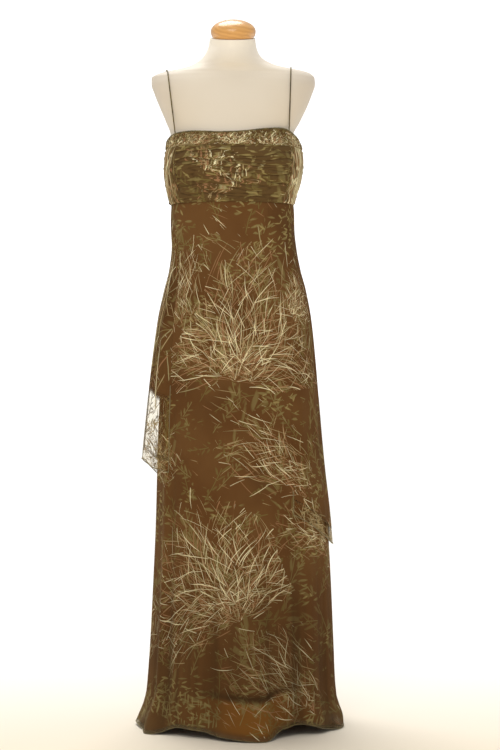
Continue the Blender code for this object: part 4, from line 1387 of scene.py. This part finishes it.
def build_band():
    """The gathered band at the top, whose small folds zigzag, with a bound upper edge."""
    finish = printed_chiffon()
    binding = cord_cloth("band_binding", "edge_roll")

    def folds(turn, height):
        """Noise of the turn in two widths, slanted one way and the other by a triangle wave of
        the height, sharp in its valleys and round on its crests."""
        share = (height - BODICE_TOP) / (band_top(turn) - BODICE_TOP)
        zigzag = np.abs((share * 2.2 + 0.4 * drift(turn * 9, share * 2, 71)) % 2 - 1)
        slanted = turn * 34 + 1.1 * zigzag
        wide = np.abs(drift(slanted, share * 2.4, 72, 256))
        fine = np.abs(drift(slanted * 2.3, share * 5, 73, 512))
        return np.clip(wide**0.75 + 0.45 * fine**0.75, 0, 1.2)

    def surface(turn, height):
        """The gown's surface moved out by the band's own layers and by its folds, which ease
        away at both edges."""
        share = (height - BODICE_TOP) / (band_top(turn) - BODICE_TOP)
        ends = ease(share * 9 + 0.3) * ease((1 - share) * 9)
        out = bpy.context.scene.gown_sizes.band_gather * folds(turn, height) * ends
        proud = BAND_PROUD * (0.6 + 0.4 * ease(share * 3))
        return gown_surface(turn, height, RUCHE_PROUD + proud + out)

    bottom = level(BODICE_TOP - LAP)
    for (half, first, last), flat in zip(HALVES, ((0.46, 0.032), (0.44, 0.023))):
        name = f"top_band_{half}"
        turns = panel_turns(first, last, 420)
        points = panel_points(turns, band_top, bottom, 22, surface)
        depths = folds(np.broadcast_to(turns, points.shape[:2]), points[..., 2])
        across = centred_arcs(points, turns, (first + last) / 2) * 1.6
        across = across + PRINT_AT[name] + depths * 0.010
        up = (points[..., 2] - BODICE_TOP) * 2.0 + depths * 0.012
        # Painted shade: the crease mark darkens the print in the valleys of the band's folds.
        marks = {"crease": ease((0.30 - depths) / 0.30), "gathered": np.ones(points.shape[:2])}
        piece = cloth_piece(name, points, across, up, finish, marks)
        finish_piece(piece, name, slot="chiffon")
        rim = points[0] - (points[0] - points[1]) * 0.3
        lumpy = 0.0017 + 0.0004 * drift(turns * 40, turns * 0 + 0.5, 74, 512)
        edge = tube_piece(name + "_binding", rim[::2], lumpy[::2], (0, 0, 1), binding, 10)
        finish_piece(edge, slot="chiffon")


def strap_line(node):
    """The middle of a strap's own solid: its corners sorted by their angle round the shoulder
    and gathered ring by ring, then a smooth line through the rings' middles."""
    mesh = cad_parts[node].data
    corners = np.empty(len(mesh.vertices) * 3, np.float32)
    mesh.vertices.foreach_get("co", corners)
    corners = np.unique(corners.reshape(-1, 3).round(6), axis=0)
    middle_y = (corners[:, 1].min() + corners[:, 1].max()) / 2
    angle = np.arctan2(corners[:, 2] - corners[:, 2].min() + 0.02, middle_y - corners[:, 1])
    order = np.argsort(angle)
    corners, angle = corners[order], angle[order]
    rings = np.split(corners, np.where(np.diff(angle) > 0.02)[0] + 1)
    middles = np.array([(ring_.max(axis=0) + ring_.min(axis=0)) / 2 for ring_ in rings])
    run = arc_lengths(middles[None])[0]
    at = np.linspace(0, run[-1], 260)
    return np.stack([smooth(at, run, middles[:, k]) for k in range(3)], axis=-1)


def build_straps():
    """Two rouleau straps: narrow tubes of cloth, slightly uneven, each sewn into the band."""
    finish = cord_cloth("rouleau_strap", "strap")
    radius = bpy.context.scene.gown_sizes.strap_radius
    for side in ("left", "right"):
        path = strap_line(f"strap_{side}")
        run = np.linspace(0, 45, len(path))
        uneven = radius * (1 + 0.07 * drift(run, run * 0, 81))
        piece = tube_piece(f"strap_{side}_rouleau", path, uneven, (1, 0, 0), finish, 12)
        finish_piece(piece, f"strap_{side}", slot="rouleau")


def build_stitching():
    """Rows of small stitches along the waist, under the band and down the bodice's seams."""
    thread = cord_cloth("stitch_thread", "thread")
    seam = centre_seam_turn()
    turns = np.linspace(-SIDE, 3 * SIDE, 700)
    level_rows = (
        (WAIST + 0.0045, BODICE_PROUD + 0.0007),
        (BODICE_TOP - 0.0040, BODICE_PROUD + 0.0007),
        (BODICE_TOP + 0.0035, BODICE_PROUD + BAND_PROUD + 0.0006),
    )
    rows = [gown_surface(turns, height, out) for height, out in level_rows]
    heights = np.linspace(WAIST + 0.006, BODICE_TOP - 0.006, 80)
    for turn in (-seam - 0.02, seam + 0.02):
        rows.append(gown_surface(np.full_like(heights, turn), heights, BODICE_PROUD + 0.0014))
    piece = stitches_piece("seam_stitches", rows, thread)
    finish_piece(piece, slot="chiffon")


# ---------------------------------------------------------------- the form and its stand
def form_rows():
    """The form's sections: shoulders, the bodice's own less the cloth, and hips."""
    less = CLOTH_STACK - BODICE_PROUD
    sizes = ("left", "right", "front", "back")
    shrunk = [
        row._replace(**{size: getattr(row, size) - less for size in sizes})
        for row in BODICE_SECTIONS[:-1]
    ]
    return SHOULDER_SECTIONS + tuple(shrunk) + HIP_SECTIONS


def neck_middle():
    """How far behind the stand's axis the middle of the neck is."""
    return (SHOULDER_SECTIONS[0].back - SHOULDER_SECTIONS[0].front) / 2


def cap_points(seat):
    """The cap: a profile of an elliptical dome over a smaller elliptical foot, turned about its
    own axis, tipped with the neck and set on the seat's height."""
    over = np.radians(np.linspace(87, 0, 26))
    dome = [np.cos(over) * CAP_RADIUS, CAP_WIDEST + np.sin(over) * (CAP_HEIGHT - CAP_WIDEST)]
    under = np.radians(np.linspace(6, 84, 12))
    foot = [
        CAP_FOOT + np.cos(under) * (CAP_RADIUS - CAP_FOOT),
        CAP_WIDEST * (1 - np.sin(under)),
    ]
    base = [[CAP_FOOT, 0.0], [CAP_FOOT * 0.5, 0.0]]
    profile = np.vstack([np.stack(dome, axis=-1), np.stack(foot, axis=-1), base])
    turns = np.linspace(0, 2 * np.pi, 96, endpoint=False)
    radius, up = profile[:, :1], np.broadcast_to(profile[:, 1:], (len(profile), 96))
    flat_y = -radius * np.cos(turns)
    lean_y = flat_y * np.cos(NECK_TILT) - (up + SEAT_GAP) * np.sin(NECK_TILT)
    lean_z = flat_y * np.sin(NECK_TILT) + (up + SEAT_GAP) * np.cos(NECK_TILT)
    return np.stack([radius * np.sin(turns), lean_y + neck_middle(), lean_z + seat], axis=-1)


def build_form():
    """A smooth closed torso whose neck is tipped forward at the top, the turned cap on it, and
    the stand's own solids in a painted finish."""
    rows = form_rows()
    turn = np.linspace(-np.pi, np.pi, 180, endpoint=False)[None, :]
    top = SHOULDER_SECTIONS[0].height
    heights = np.concatenate([np.linspace(*run) for run in FORM_RUNS])[:, None]
    x, y, out_x, out_y = ring(turn, *section_at(rows, heights))
    rise = bust(turn, heights)
    levels = np.broadcast_to(heights, x.shape)
    points = np.stack([x + out_x * rise, y + out_y * rise, levels], axis=-1)
    lean = np.tan(NECK_TILT) * (points[..., 1] - neck_middle())
    points[..., 2] += ease((points[..., 2] - NECK_TILT_FROM) / (top - NECK_TILT_FROM)) * lean
    torso = round_piece("form_torso_skin", points, form_skin("form_skin"))
    finish_piece(torso, "form_torso", slot="form_skin")

    cap = round_piece("neck_cap_turned", cap_points(top), turned_wood("turned_wood"))
    finish_piece(cap, "neck_cap", slot="turned_wood")

    paint = painted_metal("stand_paint")
    for name in ("stand_pole", "stand_base"):
        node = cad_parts[name]
        node.data.materials.clear()
        node.data.materials.append(paint)


# ---------------------------------------------------------------- the stage
SOFT_LIGHT_SIDE = 1.2


def stage_floor():
    """A wide plain cream floor with painted shade: darker in front and paler towards the back, as the
    light from behind falls off towards the front.
    """
    paint = Paint("stage_floor")
    _, y, _ = paint.parts(paint.place())
    # Painted shade: the floor's colour darkens towards the front.
    base = paint.mix(y.rise(-0.8, 1.4), (0.825, 0.722, 0.560, 1.0), (1.0, 1.0, 0.99, 1.0))
    finish = paint.surface({"Base Color": base, "Roughness": 0.9, "Specular IOR Level": 0.1})
    corners = [(-30, -12, 0), (30, -12, 0), (30, 60, 0), (-30, 60, 0)]
    floor = new_piece("floor", corners, [(0, 1, 2, 3)], finish)


def light(name, kind, way, power, tint):
    """A light of a kind, turned to shine the way given: returns its object and its data."""
    data = bpy.data.lights.new(name, kind)
    data.energy = power
    data.color = tint
    made = bpy.data.objects.new(name, data)
    bpy.context.scene.collection.objects.link(made)
    flat = np.hypot(way[0], way[1])
    made.rotation_euler = (np.pi / 2 + np.arctan2(way[2], flat), 0, np.arctan2(-way[0], way[1]))
    return made, data


def soft_light(name, place, aim, power, tint):
    """A square area light at a place, turned to aim."""
    made, data = light(name, "AREA", np.subtract(aim, place), power, tint)
    made.location = place
    data.shape = "SQUARE"
    data.size = SOFT_LIGHT_SIDE


def studio_surround(settings):
    """Surroundings that are seen white, and light the scene a little more from behind."""
    world = bpy.data.worlds.new("studio")
    bpy.context.scene.world = world
    paint = Paint("studio", world)
    _, depth, _ = paint.parts(paint.out("ShaderNodeTexCoord", None, None, "Generated"))
    front_to_back = {
        "Value": depth,
        "From Min": -1.0,
        "From Max": 1.0,
        "To Min": settings.surround_front,
        "To Max": settings.surround_back,
    }
    lit = paint.out("ShaderNodeMapRange", None, front_to_back, "Result")
    seen = paint.out("ShaderNodeLightPath", None, None, "Is Camera Ray")
    strength = paint.mix_value(seen, lit, settings.surround)
    sockets = {"Color": (1.0, 1.0, 1.0, 1.0), "Strength": strength}
    paint.finish(paint.node("ShaderNodeBackground", None, sockets), "ShaderNodeOutputWorld")


def build_stage():
    """Floor, white surroundings, four soft lights and the camera."""
    settings = bpy.context.scene.gown_stage
    stage_floor()
    studio_surround(settings)
    white = (1.0, 1.0, 0.98)
    key = light("key_above", "SUN", (0.12, -0.40, -0.90), settings.key_power, (1.0, 0.99, 0.96))[1]
    key.angle = np.radians(40)
    soft_light("fill_front", (-0.2, -1.9, 2.6), (0, 0, 1.3), settings.fill_power, (1.0, 0.96, 0.90))
    soft_light("rim_left", (-2.4, 1.6, 1.2), (0, 0, 1.1), 0.5 * settings.rim_power, white)
    soft_light("rim_right", (2.4, 1.6, 1.2), (0, 0, 1.1), settings.rim_power, white)
    data = bpy.data.cameras.new("camera")
    data.lens = settings.lens
    data.clip_end = 200
    camera = bpy.data.objects.new("camera", data)
    bpy.context.scene.collection.objects.link(camera)
    camera.location = (settings.camera_side, -settings.camera_distance, settings.camera_height)
    camera.rotation_euler = (np.pi / 2, 0, 0)
    bpy.context.scene.camera = camera
    bpy.context.scene.view_settings.view_transform = "Standard"


# ---------------------------------------------------------------- the add-on
def length_property(name, description, default):
    """A length that the user sets, in metres."""
    return bpy.props.FloatProperty(
        name=name, description=description, default=default, min=0.0, precision=4, unit="LENGTH"
    )


def colour_property(name, description, default):
    """A colour that the user sets."""
    return bpy.props.FloatVectorProperty(
        name=name, description=description, default=default, min=0.0, max=1.0, subtype="COLOR"
    )


def number_property(name, description, default):
    """A number that the user sets, from 0 up."""
    return bpy.props.FloatProperty(name=name, description=description, default=default, min=0.0)


class GownSizes(bpy.types.PropertyGroup):
    """Sizes of the cloth and its gathers."""

    cloth_wall: length_property("Cloth thickness", "Thickness of every layer of cloth", 0.0006)
    ruche_depth: length_property("Ruche depth", "Depth of the bodice's level gathers", 0.0045)
    band_gather: length_property("Band gathers", "Depth of the top band's small folds", 0.0022)
    strap_radius: length_property("Strap radius", "Radius of the rouleau straps", 0.0014)
    crease_depth: number_property("Crease depth", "Strength of the skirt's slight creases", 1.0)


class GownColours(bpy.types.PropertyGroup):
    """Colours of the print, the lining, the form and its stand."""

    ground: colour_property("Ground", "Brown ground of the print", (0.162, 0.078, 0.027))
    ground_dark: colour_property("Dark ground", "Darker patches of the ground", (0.131, 0.058, 0.019))
    moss: colour_property("Moss", "Darker leaves", (0.190, 0.145, 0.048))
    olive: colour_property("Olive", "Middle leaves", (0.250, 0.195, 0.075))
    lichen: colour_property("Lichen", "Palest leaves", (0.340, 0.270, 0.105))
    rust: colour_property("Rust", "Darkest strokes", (0.370, 0.195, 0.095))
    reed: colour_property("Reed", "Greenish strokes", (0.400, 0.345, 0.175))
    straw: colour_property("Straw", "Main strokes", (0.490, 0.375, 0.190))
    cream: colour_property("Cream", "Palest strokes", (1.000, 0.930, 0.600))
    gathered: colour_property("Gathered ground", "Ground of the bodice", (0.128, 0.077, 0.030))
    satin: colour_property("Satin", "Lining", (0.230, 0.090, 0.028))
    satin_light: colour_property("Light satin", "Lighter slubs of the lining", (0.320, 0.140, 0.045))
    # The lining through the chiffon, painted lighter as a highlight where the cloth bulges up.
    satin_glow: colour_property("Satin through chiffon", "Where the lining shows", (0.225, 0.092, 0.018))
    hem_edge: colour_property("Single layer", "Chiffon on its own at the hem", (0.220, 0.165, 0.085))
    # Painted shade: the colour that folds, the hem and random patches are darkened towards.
    fold: colour_property("Fold", "Chiffon in the depth of a fold", (0.055, 0.030, 0.012))
    light_through: colour_property("Light through", "Tint of light through chiffon", (0.99, 0.975, 0.94))
    edge_roll: colour_property("Rolled edge", "Hems and bindings", (0.075, 0.060, 0.028))
    strap: colour_property("Strap", "Rouleau straps", (0.060, 0.040, 0.020))
    thread: colour_property("Thread", "Stitches", (0.160, 0.095, 0.035))
    form: colour_property("Form", "Jersey of the form", (0.840, 0.765, 0.650))
    # Painted highlight: the neck's paler colour.
    form_neck_highlight: colour_property("Form's neck", "Paler jersey of the neck", (1.000, 0.930, 0.810))
    # Painted shade: the darker colour of the shoulders' tips.
    form_sides_shade: colour_property("Form's sides", "Jersey at the shoulders' tips", (0.700, 0.620, 0.530))
    form_shade: colour_property("Form shade", "Slightly darker jersey", (0.810, 0.730, 0.610))
    wood: colour_property("Wood", "Neck cap", (0.820, 0.440, 0.135))
    wood_dark: colour_property("Dark wood", "Its growth rings", (0.520, 0.230, 0.055))
    metal: colour_property("Stand", "Paint of the stand", (0.600, 0.590, 0.560))
    metal_dust: colour_property("Stand dust", "Dusty paint", (0.660, 0.640, 0.600))


class StageSettings(bpy.types.PropertyGroup):
    """Surroundings, lights and camera."""

    surround: number_property("Surround seen", "Strength of the surroundings as they are seen", 1.3)
    surround_front: number_property("Front surround", "Strength of the light from in front", 0.35)
    surround_back: number_property("Back surround", "Strength of the light from behind", 0.55)
    key_power: number_property("Key light", "Strength of the light from above and behind", 2.3)
    fill_power: number_property("Fill light", "Power of the light in front, in watts", 19.0)
    rim_power: number_property("Rim lights", "Power of each light behind at the side, in watts", 2.5)
    lens: number_property("Lens", "Focal length, in millimetres", 82.4)
    camera_distance: length_property("Camera distance", "From the stand's axis", 3.95)
    camera_height: length_property("Camera height", "Above the floor", 0.80)
    camera_side: length_property("Camera side", "To the right of the stand's axis", 0.0384)


class GOWN_OT_form(bpy.types.Operator):
    """Build the torso, its cap and the stand"""

    bl_idname = "gown.form"
    bl_label = "Form and stand"

    def execute(self, context):
        build_form()
        return {"FINISHED"}


class GOWN_OT_lining(bpy.types.Operator):
    """Build the satin lining"""

    bl_idname = "gown.lining"
    bl_label = "Lining"

    def execute(self, context):
        build_lining()
        return {"FINISHED"}


class GOWN_OT_skirt(bpy.types.Operator):
    """Build the skirt with its rolled hem"""

    bl_idname = "gown.skirt"
    bl_label = "Skirt"

    def execute(self, context):
        build_skirt()
        return {"FINISHED"}


class GOWN_OT_overskirt(bpy.types.Operator):
    """Build the sheer overskirt"""

    bl_idname = "gown.overskirt"
    bl_label = "Overskirt"

    def execute(self, context):
        build_overskirt()
        return {"FINISHED"}


class GOWN_OT_bodice(bpy.types.Operator):
    """Build the ruched bodice"""

    bl_idname = "gown.bodice"
    bl_label = "Bodice"

    def execute(self, context):
        build_bodice()
        return {"FINISHED"}


class GOWN_OT_band(bpy.types.Operator):
    """Build the gathered band"""

    bl_idname = "gown.band"
    bl_label = "Top band"

    def execute(self, context):
        build_band()
        return {"FINISHED"}


class GOWN_OT_straps(bpy.types.Operator):
    """Build both rouleau straps"""

    bl_idname = "gown.straps"
    bl_label = "Straps"

    def execute(self, context):
        build_straps()
        return {"FINISHED"}


class GOWN_OT_stitching(bpy.types.Operator):
    """Build the rows of stitches"""

    bl_idname = "gown.stitching"
    bl_label = "Stitching"

    def execute(self, context):
        build_stitching()
        return {"FINISHED"}


class GOWN_OT_stage(bpy.types.Operator):
    """Build the floor, lights and camera"""

    bl_idname = "gown.stage"
    bl_label = "Stage"

    def execute(self, context):
        build_stage()
        return {"FINISHED"}


OPERATORS = (
    GOWN_OT_form,
    GOWN_OT_lining,
    GOWN_OT_skirt,
    GOWN_OT_overskirt,
    GOWN_OT_bodice,
    GOWN_OT_band,
    GOWN_OT_straps,
    GOWN_OT_stitching,
    GOWN_OT_stage,
)


class GOWN_PT_panel(bpy.types.Panel):
    """Sizes, colours and steps of the gown."""

    bl_label = "Evening gown"
    bl_idname = "GOWN_PT_panel"
    bl_space_type = "VIEW_3D"
    bl_region_type = "UI"
    bl_category = "Gown"

    def draw(self, context):
        for group in (context.scene.gown_sizes, context.scene.gown_colours, context.scene.gown_stage):
            box = self.layout.box()
            for key in group.bl_rna.properties.keys():
                if key not in ("rna_type", "name"):
                    box.prop(group, key)
        for step in OPERATORS:
            self.layout.operator(step.bl_idname)


CLASSES = (GownSizes, GownColours, StageSettings, *OPERATORS, GOWN_PT_panel)


def register():
    for item in CLASSES:
        bpy.utils.register_class(item)
    bpy.types.Scene.gown_sizes = bpy.props.PointerProperty(type=GownSizes)
    bpy.types.Scene.gown_colours = bpy.props.PointerProperty(type=GownColours)
    bpy.types.Scene.gown_stage = bpy.props.PointerProperty(type=StageSettings)


def unregister():
    del bpy.types.Scene.gown_stage
    del bpy.types.Scene.gown_colours
    del bpy.types.Scene.gown_sizes
    for item in reversed(CLASSES):
        bpy.utils.unregister_class(item)


def main():
    """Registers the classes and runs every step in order."""
    register()
    for step in OPERATORS:
        getattr(bpy.ops.gown, step.bl_idname.split(".")[1])()


if __name__ == "__main__":
    main()
